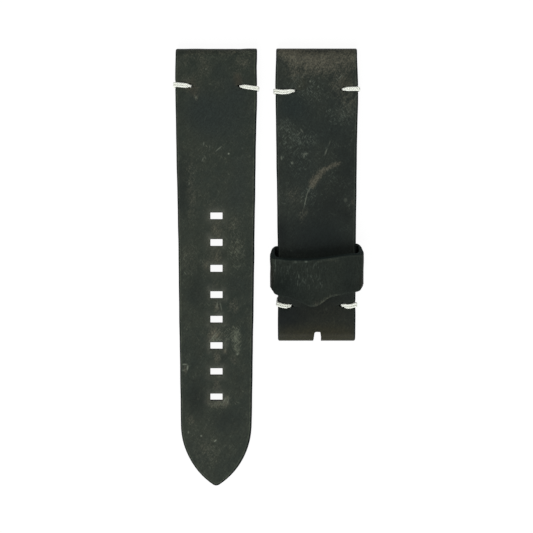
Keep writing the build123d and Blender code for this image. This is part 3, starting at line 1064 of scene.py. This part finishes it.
@dataclass
class StrapHalf:
    """One half of the strap: outer leather, lining and its stitches.

    Attributes:
        name: The half's body, and the start of its nodes' names.
        middle: X of its middle line, in millimetres.
        lug_end: Y of its lug end.
        stitches: Its stitches.
        wear: Where its leather is worn.
        nudges: Small shifts of the leather, most of them of holes.
        holes: Y of each adjustment hole's middle.
        hole_size: Size of a hole across and along the strap.
        hole_corner: Radius of a hole's corners in the CAD model.
        hole_dent: How deep the punch pressed the leather down round a hole.
        hole_draw: How far the leather is drawn in over a hole's long sides.
        edges: How its edges stray from a straight cut.
        lie: How unevenly it lies.
        face: Soft unevenness of its face.
        lift: How high it lies off the table.
        grid: Distance between the cuts through its skins.
        outline: Y and half-width at each cut across it, once traced.
    """

    name: str
    middle: float
    lug_end: float
    stitches: tuple[Stitch, ...]
    wear: Wear
    nudges: tuple[Nudge, ...]
    holes: tuple[float, ...] = ()
    hole_size: Pair = (3.3, 2.0)
    hole_corner: float = 0.25
    hole_dent: float = 0.13
    hole_draw: float = 0.09
    edges: Ripple = Ripple(11, 0.035, 3)
    lie: Ripple = Ripple(13, 0.035, 5, 1.4)
    face: Ripple = Ripple(3.1, 0.016, 8, 1.3)
    lift: float = 0.05
    grid: float = 0.5
    outline: np.ndarray | None = None

    def trace(self, skin: Skin, points: np.ndarray) -> None:
        """Find the half's outline from the cuts across it.

        Args:
            skin: The outer leather's skin.
            points: Its vertices' places in millimetres.
        """
        away = np.abs(points[:, 0] - self.middle)
        line = [(y, away[np.abs(points[:, 1] - y) < 0.004].max()) for y in skin.levels["y"]]
        if self.holes:
            line.insert(0, (points[:, 1].min(), 0.0))
        line.append((points[:, 1].max(), line[-1][1]))
        self.outline = np.array(line)

    def rim(self, points: np.ndarray) -> np.ndarray:
        """Measure how far the leather's cut edge is.

        Args:
            points: Places in millimetres.

        Returns:
            Each one's distance to the edge.
        """
        x, y = np.abs(points[:, 0] - self.middle), points[:, 1]
        best = np.full(len(x), 1e3)
        for (y0, w0), (y1, w1) in zip(self.outline[:-1], self.outline[1:]):
            dy, dw = y1 - y0, w1 - w0
            share = np.clip(((y - y0) * dy + (x - w0) * dw) / (dy * dy + dw * dw), 0, 1)
            best = np.minimum(best, np.hypot(y - y0 - share * dy, x - w0 - share * dw))
        return best

    def punch(self, points: np.ndarray) -> np.ndarray:
        """Measure how far the nearest adjustment hole is.

        Args:
            points: Places in millimetres.

        Returns:
            Each one's distance to it, a little more at the holes' ends, so that no dark edge line is drawn
            there.
        """
        best = np.full(len(points), NO_HOLE_NEAR)
        for hole in self.holes:
            dx = np.abs(points[:, 0] - self.middle) - self.hole_size[0] / 2
            dy = np.abs(points[:, 1] - hole) - self.hole_size[1] / 2
            away = np.hypot(np.maximum(dx, 0), np.maximum(dy, 0))
            best = np.minimum(best, np.maximum(away, 0.12 * ease(dx, -0.15, 0.0)))
        return best

    def sharpen(self, points: np.ndarray) -> np.ndarray:
        """Make the holes' corners nearly square.

        Args:
            points: Places in millimetres.

        Returns:
            How far each one moves.
        """
        moves = np.zeros_like(points)
        for hole in self.holes:
            away = points[:, :2] - np.array([self.middle, hole])
            arc = np.abs(away) - np.array(self.hole_size) / 2 + self.hole_corner
            reach = np.hypot(*arc.T)
            corner = (arc > 0).all(axis=1) & (reach < 2.4 * self.hole_corner)
            stretch = reach / np.maximum(arc.max(axis=1), 1e-6) - 1
            share = 0.8 * stretch * ease(reach, 2.4 * self.hole_corner, 1.1 * self.hole_corner) * corner
            moves[:, :2] += share[:, None] * arc * np.sign(away)
        return moves

    def shape(self, points: np.ndarray, rim: np.ndarray, punch: np.ndarray) -> np.ndarray:
        """Give the half its hand-made unevenness.

        Args:
            points: Places in millimetres.
            rim: Their distances to the cut edge.
            punch: Their distances to the nearest adjustment hole.

        Returns:
            The places, moved.
        """
        moved = points.copy()
        x, y, z = points.T
        moved[:, 0] += self.edges.at(np.sign(x - self.middle) * 40, y) * ease(rim, 2.5, 0.0)
        loose = ease(self.lug_end - y, 8, 30) if self.holes else 0.4
        moved[:, 2] += (self.lift + self.lie.at(x, y)) * loose
        upper = ease(z, 1.4, 2.6) * ease(rim, 0.1, 1.0)
        moved[:, 2] += self.face.at(x, y) * upper
        moved[:, 2] -= self.hole_dent * ease(punch, 0.5, 0.0) * ease(z, 1.9, 2.4)
        for hole in self.holes:
            lips = ease(np.abs(y - hole), 2.0, 1.1) * ease(np.abs(x - self.middle), 2.4, 1.5)
            moved[:, 1] -= self.hole_draw * np.sign(y - hole) * lips
        moved += self.sharpen(points)
        for nudge in self.nudges:
            moved += nudge.shift(points)
        for stitch in self.stitches:
            moved = stitch.press(moved)
        return moved

    def build_layer(self, node: str, slot: Slot, material: bpy.types.Material) -> None:
        """Build one layer of leather.

        Args:
            node: Its CAD node.
            slot: The record's slot that its finish comes from.
            material: Its material.
        """
        skin = Skin(node, {"x": self.grid, "y": self.grid})
        points = skin.points()
        if self.outline is None:
            self.trace(skin, points)
        rim, punch = self.rim(points), self.punch(points)
        skin.hold("rim", rim - 0.1 * ease(points[:, 0] - self.middle, 2.0, 6.0))
        skin.hold("punch", punch)
        self.wear.show(skin, points)
        skin.move(self.shape(points, rim, punch))
        dress(skin.mesh, node, self.name, slot, material)

    def build(self, finishes: Finishes) -> None:
        """Build the half's layers and stitches.

        Args:
            finishes: The materials.
        """
        leather = finishes.hole_half if self.holes else finishes.buckle_half
        self.build_layer(f"{self.name}_leather", Slot.OUTER, leather)
        self.build_layer(f"{self.name}_lining", Slot.LINING, finishes.lining)
        for stitch in self.stitches:
            stitch.build(self.name, finishes.thread)


@dataclass(frozen=True)
class Keeper:
    """The loop of leather that slides on the buckle half.

    Attributes:
        upper_rim: How far the front's upper rim lies from a straight one, towards the lug end in
            millimetres, at shares of half the width.
        lower_rim: The same for its lower rim.
        wear: Where its leather is worn.
        middle: Its middle in millimetres.
        size: Its size across, over the strip and up.
        wall: Thickness of its leather.
        bend: Radius of its inner corners in the CAD model.
        lean: How far its top lies back, as a share of height.
        skew: How far its right side lies towards the lug end, as a share of width.
        inner_corner: Radius inside the loop where the front meets its side walls.
        wall_tuck: How far the side walls' upper rim lies in near the back.
        back_tuck: How far the back's lower rim lies in at the left, clear of the end stitch.
        crown: How far the front's middle stands up.
        flare: How far the side walls' rims stand out.
        pinch: How far the side walls' middles lie in.
        draw_in: How far the side walls lean in towards the front's lower rim and the back.
        wrinkles: Fine wrinkles along the front, at its left.
        face: Soft unevenness of its front.
        walls: The same of its side walls.
        thread: Diameter of the thread in its back.
        stitch_length: Length of each stitch there.
        stitch_pitch: Distance between a stitch's two turns.
        stitch_rise: How far its runs lie from the middle of the leather.
        stitch_spacing: Distance between the two stitches.
        seam_shift: How far its back's middle lies towards the lug end.
    """

    upper_rim: tuple[Pair, ...]
    lower_rim: tuple[Pair, ...]
    wear: Wear
    middle: Triple = (12.935, -0.97, 4.45)
    size: Triple = (24.9, 10.3, 8.6)
    wall: float = 1.35
    bend: float = 0.6
    lean: float = 0.4414
    skew: float = 0.0321
    inner_corner: float = 2.0
    wall_tuck: float = 0.5
    back_tuck: float = 0.85
    crown: float = 0.3
    flare: float = 0.04
    pinch: float = 0.1
    draw_in: float = 0.3
    wrinkles: Ripple = Ripple(0.9, 0.03, 21, 3.4)
    face: Ripple = Ripple(4.5, 0.03, 23)
    walls: Ripple = Ripple(5, 0.04, 25)
    thread: float = 0.4
    stitch_length: float = 3.2
    stitch_pitch: float = 0.5
    stitch_rise: float = 0.445
    stitch_spacing: float = 4.6
    seam_shift: float = 1.6

    def strip(self, points: np.ndarray) -> tuple[np.ndarray, np.ndarray, np.ndarray]:
        """Find places on the loop.

        Args:
            points: Places in millimetres.

        Returns:
            Where they lie across, up and from rim to rim, as shares of half the width, of the height
            and of half the strip.
        """
        dx, dy, dz = (points - np.array(self.middle)).T
        across = dx / (self.size[0] / 2)
        up = dz / self.size[2] + 0.5
        over = (dy - self.skew * dx + self.lean * dz) / (self.size[1] / 2)
        return across, up, over

    def inner_gaps(self, points: np.ndarray) -> np.ndarray:
        """Measure how far inside the loop's leather points lie.

        Args:
            points: Places in millimetres.

        Returns:
            Their distances to the side walls and to the front.
        """
        away = np.abs(points - np.array(self.middle))[:, [0, 2]]
        away[:, 1] = points[:, 2] - self.middle[2]
        return np.array([self.size[0], self.size[2]]) / 2 - self.wall - away

    def depth(self, points: np.ndarray) -> np.ndarray:
        """Measure how deep in the leather points lie.

        Args:
            points: Places in millimetres.

        Returns:
            Shares from 0 on the inner face to 1 on the outer one.
        """
        out = self.bend - self.inner_gaps(points)
        away = np.hypot(*np.maximum(out, 0).T) + np.minimum(out.max(axis=1), 0) - self.bend
        return np.clip(away / self.wall, 0, 1)

    def round_inside(self, points: np.ndarray) -> np.ndarray:
        """Make the loop round inside its front corners.

        Args:
            points: Places in millimetres.

        Returns:
            How far each one moves.
        """
        arc = self.inner_corner
        reach = arc - np.clip(self.inner_gaps(points), 0, arc)
        pull = (1 - arc / np.maximum(np.hypot(*reach.T), arc)) * (1 - self.depth(points))
        moves = np.zeros_like(points)
        moves[:, 0] = -reach[:, 0] * pull * np.sign(points[:, 0] - self.middle[0])
        moves[:, 2] = -reach[:, 1] * pull
        return moves

    def shape(self, points: np.ndarray) -> np.ndarray:
        """Give the loop its soft bows, crown and wrinkles.

        Args:
            points: Places in millimetres.

        Returns:
            The places, moved.
        """
        across, up, over = self.strip(points)
        x, y, z = points.T
        front = ease(up, 0.45, 0.95)
        wall = ease(np.abs(across), 0.9, 1.0)
        share = np.clip((1 + over) / 2, 0, 1)
        upper = soft_line(self.upper_rim, across) * front
        upper -= self.wall_tuck * ease(up, 0.8, 0.25) * ease(np.abs(across), 0.86, 1.0)
        lower = soft_line(self.lower_rim, across) * front
        lower += wall * (self.lean * np.clip(z - self.middle[2] + 2.35, 0, 3.9) - lower)
        lower += self.back_tuck * ease(up, 0.45, 0.2) * ease(across, -0.35, -0.62)
        moved = points.copy()
        moved[:, 1] += share * upper + (1 - share) * lower
        moved += self.round_inside(points)
        ridge = ease(across, 0.4, -0.3) * ease(np.abs(over), 1.0, 0.7) * ease(up, 0.8, 0.95)
        moved[:, 2] += self.crown * np.clip(1 - across**2, 0, 1) * front
        moved[:, 2] += self.wrinkles.at(x + 0.12 * y, y) * ridge
        moved[:, 2] += self.face.at(x, y) * ease(up, 0.8, 0.95)
        out = self.flare * over**4 - self.pinch + self.walls.at(y, z)
        out -= self.draw_in * (ease(up, 0.5, 0.85) * ease(over, 0.6, -1.0) + ease(up, 0.5, 0.1))
        moved[:, 0] += out * wall * self.depth(points) * np.sign(across)
        return moved

    def build_band(self, material: bpy.types.Material) -> None:
        """Build the loop's leather.

        Args:
            material: Its material.
        """
        skin = Skin("keeper_band", {"x": 0.35, "y": 0.35, "z": 0.6})
        points = skin.points()
        across, up, over = self.strip(points)
        moved = self.shape(points)
        rim = (1 - np.abs(over)) * self.size[1] / 2 + 0.02
        skin.hold("rim", rim + 0.9 * ease(over, 0.0, -0.5) * ease(across, -0.1, -0.35))
        skin.hold("crease", ease(across, 0.3, 0.0) * ease(over, -0.7, 0.1) * ease(up, 0.85, 0.95))
        skin.hold("punch", np.full(len(points), NO_HOLE_NEAR))
        self.wear.show(skin, moved, ease(up, 0.3, 0.6))
        skin.move(moved)
        dress(skin.mesh, "keeper_band", "keeper", Slot.OUTER, material)

    def build_stitch(self, node: str, shift: float, material: bpy.types.Material) -> None:
        """Build one thread that closes the loop's seam at the back.

        Args:
            node: The CAD node that it stands for.
            shift: How far it lies towards the lug end from the seam's middle.
            material: Its material.
        """
        half, rise = self.stitch_length / 2, self.stitch_rise
        seat = self.middle[2] - (self.size[2] - self.wall) / 2
        centre_y = self.middle[1] + self.seam_shift + shift
        route = [(-half, -self.stitch_pitch / 2, 0.0)]
        for start, stop in ((-1, 1), (1, 3)):
            first, last = start * self.stitch_pitch / 2, stop * self.stitch_pitch / 2
            route += [
                (-half, first, rise - 0.1),
                (-half + 0.35, first, rise),
                (half - 0.35, first, rise),
                (half, first, rise - 0.1),
                (half, first, 0.1 - rise),
                (half - 0.35, first, -rise),
                (0.35 - half, last, -rise),
                (-half, last, 0.1 - rise),
            ]
        route.append((-half, 3 * self.stitch_pitch / 2, 0.0))
        places = [Vector((self.middle[0] + u, centre_y + v, seat + z)) * MM for u, v, z in route]
        mesh = twisted_thread(f"{node}_thread", places, self.thread)
        dress(mesh, node, "keeper", Slot.THREAD, material)

    def build(self, finishes: Finishes) -> None:
        """Build the loop and its two stitches.

        Args:
            finishes: The materials.
        """
        self.build_band(finishes.keeper)
        self.build_stitch("keeper_stitch_upper", self.stitch_spacing / 2, finishes.thread)
        self.build_stitch("keeper_stitch_lower", -self.stitch_spacing / 2, finishes.thread)


@dataclass(frozen=True)
class Softbox:
    """One soft studio lamp.

    Attributes:
        name: The lamp's name.
        place: Where it hangs, in metres.
        size: Length of its side, in metres.
        power: Its power in watts.
    """

    name: str
    place: Triple
    size: float
    power: float

    def hang(self) -> None:
        """Add the lamp, turned towards the strap."""
        light = bpy.data.lights.new(self.name, "AREA")
        light.shape = "SQUARE"
        light.size = self.size
        light.energy = self.power
        lamp = link(self.name, light)
        lamp.location = self.place
        lamp.rotation_euler = (-Vector(self.place)).to_track_quat("-Z", "Y").to_euler()


@dataclass(frozen=True)
class Studio:
    """White floor, soft light and the camera straight above.

    Attributes:
        lamps: The soft lamps.
        ambient: Strength of the even light all round.
        floor_size: Length of the floor's side, in metres.
        floor_drop: How far the floor lies below the strap, in millimetres.
        floor_glow: Share of the floor that the camera sees as plain white.
        lens: The camera's focal length, in millimetres.
        sensor: Width of its sensor.
        focus_height: Height at which the photograph's scale holds, in millimetres.
    """

    lamps: tuple[Softbox, ...] = (
        Softbox("key_lamp", (-0.22, -1.1, 1.2), 0.9, 23.5),
        Softbox("fill_lamp", (0.6, 0.8, 1.2), 1.2, 2.8),
    )
    ambient: float = 0.4
    floor_size: float = 4.0
    floor_drop: float = 0.02
    floor_glow: float = 0.93
    lens: float = 100.0
    sensor: float = 36.0
    focus_height: float = 2.2

    def lay_floor(self) -> None:
        """Add the floor under the strap."""
        grid = bmesh.new()
        bmesh.ops.create_grid(grid, x_segments=2, y_segments=2, size=self.floor_size / 2)
        mesh = bpy.data.meshes.new("floor")
        grid.to_mesh(mesh)
        grid.free()
        floor = link("floor", mesh)
        floor.location.z = -self.floor_drop * MM
        g = Graph(bpy.data.materials.new("white_floor"))
        rays = g.add("ShaderNodeLightPath", {}).outputs
        seen = g.most(g.most(rays["Is Camera Ray"], rays["Is Glossy Ray"]), rays["Is Transmission Ray"])
        inputs = {
            0: g.times(seen, self.floor_glow),
            1: g.add("ShaderNodeBsdfDiffuse", {"Color": (0.94, 0.94, 0.94, 1)}).outputs[0],
            2: g.add("ShaderNodeEmission", {"Strength": 1.02}).outputs[0],
        }
        mesh.materials.append(g.finish(g.add("ShaderNodeMixShader", inputs)))

    def light_world(self) -> None:
        """Add even light all round, white where the camera sees it."""
        g = Graph(bpy.data.worlds.new("studio_light"))
        seen = g.add("ShaderNodeLightPath", {}).outputs["Is Camera Ray"]
        strength = g.add("ShaderNodeMapRange", {"Value": seen, "To Min": self.ambient, "To Max": 1.0})
        inputs = {"Color": (1, 1, 1, 1), "Strength": strength.outputs["Result"]}
        bpy.context.scene.world = g.finish(g.add("ShaderNodeBackground", inputs), "World")

    def mount_camera(self) -> None:
        """Add the camera, looking straight down at the photograph's scale."""
        camera = bpy.data.cameras.new("camera")
        camera.lens = self.lens
        camera.sensor_width = self.sensor
        holder = link("camera", camera)
        width = 2 * PHOTO_MIDDLE_PX / PHOTO_PX_PER_MM
        height = width * self.lens / self.sensor + self.focus_height
        holder.location = Vector((*VIEW_MIDDLE, height)) * MM
        bpy.context.scene.camera = holder

    def build(self) -> None:
        """Build the floor, the light and the camera."""
        self.lay_floor()
        self.light_world()
        for lamp in self.lamps:
            lamp.hang()
        self.mount_camera()
        bpy.context.scene.view_settings.view_transform = "Standard"


def hole_half() -> StrapHalf:
    """Return the half with the adjustment holes."""
    top, first_hole, spacing = 58.07, 44.45, 6.88
    holes = tuple(top - first_hole - spacing * index for index in range(8))
    hole_shifts = (0.04, -0.2, -0.23, -0.38, -0.05, -0.19, -0.23, -0.1)
    middle = -13.765
    return StrapHalf(
        name="hole_half",
        middle=middle,
        lug_end=top,
        stitches=(
            Stitch("hole_half_stitch_left", (-19.89, 48.47), Side.LEFT, 5.0, 4.768, shift=-0.5),
            Stitch("hole_half_stitch_right", (-7.99, 47.97), Side.RIGHT, -8.0, 5.15, shift=0.1, pitch=0.5),
        ),
        wear=Wear(
            rub_and_highlight=marks(
                (199, 53, 2.6, 5, 0.36), (226, 52, 2, 6, 0.3), (246, 58, 4.2, 3.6, 0.3),
                (187, 60, 4, 3.5, 0.22), (204, 66, 5, 4, 0.26), (238, 70, 5, 4, 0.22),
                (191, 86, 5, 4.5, 0.32), (216, 88, 5, 7, 0.16), (228, 56, 3, 4, 0.18),
                (197, 98, 2, 1, 0.4, -10), (190, 172, 9, 3.2, 0.25), (192, 205, 8, 3, 0.25),
                (216, 230, 5, 3, 0.4), (210, 205, 3, 4, 0.2), (232, 226, 6, 5, 0.26),
                (216, 256, 4.2, 3, 0.42), (206, 265, 2.6, 2.2, 0.4), (188, 258, 7, 4.4, 0.24),
                (238, 250, 6, 4, 0.22), (215, 282, 2.6, 1.6, 0.3), (217, 306, 2.8, 1.8, 0.6),
                (234, 306, 3.6, 2.6, 0.4), (215, 331, 3.6, 4.4, 0.5, 20), (213, 336, 3, 1.6, 0.6, 40),
                (234, 360, 2.2, 1.8, 0.4), (217, 357, 2.8, 1.7, 0.65), (225, 350, 1.6, 1, 0.7),
                (185, 369, 1.8, 1, 0.6), (217, 384, 2.8, 1.8, 0.6), (216, 403.5, 2.1, 3.8, 0.55),
                (226.4, 400.5, 2.8, 2, 0.7, 15), (208.6, 399, 2.6, 1, 0.3, 15),
                (190, 419, 2.4, 2.2, 0.4), (207, 450, 9, 7, 0.22, 30),
            ),
            scuff=marks(
                (247, 54, 1.4, 3, 0.6), (214, 56, 3, 9, 0.22), (206, 152, 4, 3, 0.25),
                (192, 176, 6, 3.4, 0.22), (184, 225, 4, 0.7, 0.35), (233, 223.4, 0.9, 0.9, 0.6),
                (231.6, 208.7, 0.6, 0.8, 0.5), (185, 254, 4, 1, 0.4), (237, 267, 0.6, 1.8, 0.6, -10),
                (236, 250, 9, 4, 0.44), (189, 274, 1.4, 2.6, 0.5), (214, 338, 1.8, 0.6, 1, 38),
                (237, 337, 3.8, 1.7, 0.8, -6), (236, 338, 5.4, 3.2, 0.55), (224, 334, 5, 3, 0.44),
                (216, 403.5, 2.1, 3.8, 0.5), (226.4, 400.5, 2.8, 2, 0.5, 15),
                (237, 349, 2.4, 1.4, 0.8, -20), (239.7, 367, 1.4, 0.4, 0.5),
                (237, 403, 0.9, 0.6, 0.55, 10), (243, 410, 0.9, 0.7, 0.4), (212, 450, 8, 5, 0.25),
                (225, 446, 0.8, 0.6, 0.4, 40), (208.3, 466, 0.6, 0.5, 0.4),
                (221, 481.5, 1.5, 0.35, 0.5, 50),
            ),
            shade=marks(
                (184, 186, 13, 3, 0.5), (198, 350, 5, 3.4, 0.2), (223, 358, 3, 2.6, 0.3),
                (197, 400, 7, 4, 0.42), (196, 288, 9, 3.5, 0.36), (236, 283, 4, 4.5, 0.2),
                (192, 380, 0.35, 1.3, 0.5, 20), (195, 390, 10, 5, 0.22), (226, 420, 5, 7, 0.38),
                (236, 380, 4, 3.4, 0.2),
            ),
            teal=marks(
                (224, 116, 13, 12, 0.95, 30), (196, 110, 10, 8, 0.6), (238, 90, 6, 5, 0.5),
                (220, 72, 6, 5, 0.5), (240, 180, 18, 5, 0.55), (224, 200, 6, 7, 0.3),
                (236, 284, 4.5, 5, 0.5), (195, 298, 5, 4, 0.3),
            ),
            stain=marks(
                (194.5, 80, 2.4, 1.8, 0.35, -20), (194, 91, 3.2, 2.6, 0.42, -10),
                (238, 79, 2.8, 2.4, 0.5, -20), (236, 88, 2.8, 2.2, 0.36), (216, 262, 14, 6, 0.22),
                (228, 325, 8, 5, 0.2), (215, 390, 10, 6, 0.2),
            ),
        ),
        nudges=(
            Nudge(-3.0, 58.0, 5.0, 0.12, 0.16),
            Nudge(-24.0, 58.2, 8.0, 0.0, 0.08),
            Nudge(-13.8, 58.2, 9.0, 0.0, 0.08),
            *(Nudge(middle, hole, 4.2, 0.0, shift) for hole, shift in zip(holes, hole_shifts)),
        ),
        holes=holes,
    )


def buckle_half() -> StrapHalf:
    """Return the half that carries the buckle and the keeper."""
    lug, end = "buckle_half_lug_stitch", "buckle_half_end_stitch"
    return StrapHalf(
        name="buckle_half",
        middle=12.935,
        lug_end=58.23,
        stitches=(
            Stitch(f"{lug}_left", (7.535, 46.83), Side.LEFT, -2.0, 5.603, -0.35),
            Stitch(f"{lug}_right", (19.235, 47.53), Side.RIGHT, 1.0, 4.7, shift=-0.35, pitch=0.5),
            Stitch(
                f"{end}_left", (6.885, -10.47), Side.LEFT, 8.0, 4.241, -0.25, 1.5,
                pitch=0.57, dive=0.85, close=0.6,
            ),
            Stitch(f"{end}_right", (18.985, -10.17), Side.RIGHT, 2.0, 4.203, -0.4),
        ),
        wear=Wear(
            rub_and_highlight=marks(
                (284, 50, 3.2, 5, 0.6), (289, 53, 5.2, 6.4, 0.64), (303, 57, 6, 6.4, 0.62),
                (319, 62, 6.6, 6.4, 0.64), (334, 58, 6.4, 6, 0.56), (350, 58, 7, 5, 0.6),
                (300, 72, 4, 9, 0.2), (338, 84, 6, 5, 0.34), (348, 95, 9, 6, 0.26),
                (345, 114, 5, 5, 0.12), (296, 76, 3, 4, 0.3), (311.5, 185.5, 1.7, 1.5, 1, 32),
                (315, 180, 2.9, 1.7, 1.25, 34), (322, 172.5, 2.7, 1.4, 1.2, 50),
                (331, 167, 3, 1, 1.1, 64), (337.8, 164.2, 1.8, 0.7, 0.95, 68), (294, 196, 6, 3.8, 0.3),
                (303, 215, 5, 2.2, 0.35, 10), (352, 203, 1.8, 0.7, 0.5), (287, 342, 4.2, 9, 0.17),
                (303, 342, 4.2, 7, 0.17), (318, 336, 3, 6, 0.2), (333, 340, 4.6, 7, 0.21),
                (350, 340, 5, 8, 0.22),
            ),
            scuff=marks(
                (283, 126, 4, 3, 0.42), (299, 141, 3, 3.6, 0.34, 30), (311, 141, 3, 3.4, 0.45),
                (342, 116, 5, 7, 0.5), (312, 92, 6.5, 9, 0.34), (298, 84, 4, 3.5, 0.34),
                (289, 139, 6, 5, 0.42), (304.4, 155.3, 1.6, 1.4, 0.6),
                (281.3, 157.4, 1.2, 0.8, 0.6, -20), (291.8, 163.7, 1.2, 1, 0.6),
                (326.4, 149.5, 2.4, 0.7, 0.5, 20), (299, 164, 7, 8, 0.24), (288, 200, 5, 3.6, 0.16, 20),
                (308, 197, 5, 3.8, 0.5, 20), (330, 178, 7, 7, 0.2, 20), (348, 208, 3, 2.6, 0.35),
                (334, 322, 6, 10, 0.16),
            ),
            # (280, 232), (288, 228) and (320, 242) are painted shade where the keeper's shadow falls on
            # the strap above it.
            # (318, 312) and (287, 318) give the end below the keeper its darker colour and painted shade
            # under the keeper's rim; (297, 303) takes some back where the rendered shadow already falls.
            shade=marks(
                (314, 51, 3.8, 9.5, 0.42), (277, 61, 1.4, 1, 0.6), (276, 74, 1.6, 1, 0.5),
                (340, 150, 12, 9, 0.2), (292, 160, 10, 8, 0.2), (348, 172, 9, 6, 0.28),
                (334, 194, 10, 9, 0.42), (322, 214, 9, 12, 0.44), (348, 216, 4, 4, 0.4),
                (280, 232, 8, 3, 0.55), (288, 228, 6, 7, 0.28), (320, 242, 8.5, 18, 0.7),
                (318, 312, 12, 32, 0.82), (287, 318, 5.5, 7, 0.6), (297, 303, 3, 5, -0.3),
                (316, 341, 0.45, 16, 0.3),
            ),
            # (318, 238) is painted shade, dark and bluer, where the keeper's shadow falls on the strap
            # above and inside it.
            teal=marks(
                (292, 108, 7, 8, 0.95), (322, 120, 8, 10, 0.2), (312, 134, 7, 8, 0.4),
                (300, 168, 9, 8, 0.4), (340, 134, 8, 7, 0.4), (318, 238, 10, 16, 0.8),
                (287, 314, 5, 6, 0.55), (290, 302, 4, 9, 0.2),
            ),
            stain=marks(
                (302, 85, 3.2, 2.8, 0.5, 20), (343, 88, 4, 3, 0.42), (350, 78, 3.4, 3, 0.3),
                (347, 210, 5, 4, 0.24), (330, 315, 8, 18, 0.42), (316, 337, 5.2, 32, 0.9),
            ),
        ),
        nudges=(Nudge(12.9, -17.7, 2.6, 0.25, -0.08), Nudge(11.2, -19.6, 1.3, 0.15, 0.0)),
    )


def keeper() -> Keeper:
    """Return the keeper."""
    return Keeper(
        upper_rim=(
            (-1, 0.1), (-0.86, 0.3), (-0.64, -0.22), (-0.42, -0.38), (-0.23, -0.45), (0, -0.32),
            (0.24, -0.06), (0.46, 0.3), (0.68, 0.62), (0.9, 0.6), (1, 0.35),
        ),
        lower_rim=(
            (-1, 1.75), (-0.97, 1.6), (-0.93, 1.25), (-0.88, 0.95), (-0.83, 0.75), (-0.64, 0.2),
            (-0.45, -0.73), (-0.26, -1.85), (-0.14, -2.6), (-0.05, -2.55), (0.02, -2.25), (0.1, -1.7),
            (0.18, -0.85), (0.25, -0.3), (0.32, -0.08), (0.46, 0.24), (0.63, 0.55), (0.8, 0.92),
            (0.9, 1.2), (0.96, 1.5), (1, 1.7),
        ),
        wear=Wear(
            # Brown wear on the side walls at (272.5, 268) and (361.5, 266); the rest is painted highlight
            # along the front's lower rim, and at (330, 260.4) and (318, 262) along its upper rim.
            rub_and_highlight=marks(
                (272.5, 268, 5, 1.3, 0.3), (361.5, 266, 5, 1.2, 0.3), (312, 308, 1.6, 0.8, 0.35, 62),
                (316.5, 305.6, 1.7, 1, 0.45, 62), (320.6, 303.1, 1.6, 1.1, 0.55, 56),
                (323.6, 300.4, 1.4, 1.1, 0.6, 42), (326.4, 297.7, 1.5, 0.95, 0.5, 48),
                (331, 295.6, 1.9, 0.8, 0.36, 68), (337, 294.3, 2, 0.7, 0.25, 82),
                (316, 302, 2.6, 1.6, 0.3, 40), (330, 260.4, 0.7, 3.4, 0.4, 4), (318, 262, 0.5, 3, 0.3),
            ),
            shade=marks(
                (280, 284, 5.5, 5.4, 0.55, 20), (347, 289, 4, 5, 0.28), (300, 299, 3, 7, 0.2),
            ),
            teal=marks(
                (288, 288, 9, 9, 0.6), (348, 276, 9, 4, 0.5),
            ),
            stain=marks(
                (271.6, 277, 6.5, 1.3, 0.5), (360, 282, 3.4, 1.5, 0.45), (316, 302, 2, 1.6, 0.3, 60),
            ),
        ),
    )


def main() -> None:
    """Build the strap, its keeper and the studio."""
    logging.basicConfig(level=logging.INFO, format="%(name)s: %(message)s")
    finishes = Finishes()
    for part in (hole_half(), buckle_half(), keeper()):
        part.build(finishes)
    Studio().build()


if __name__ == "__main__":
    main()
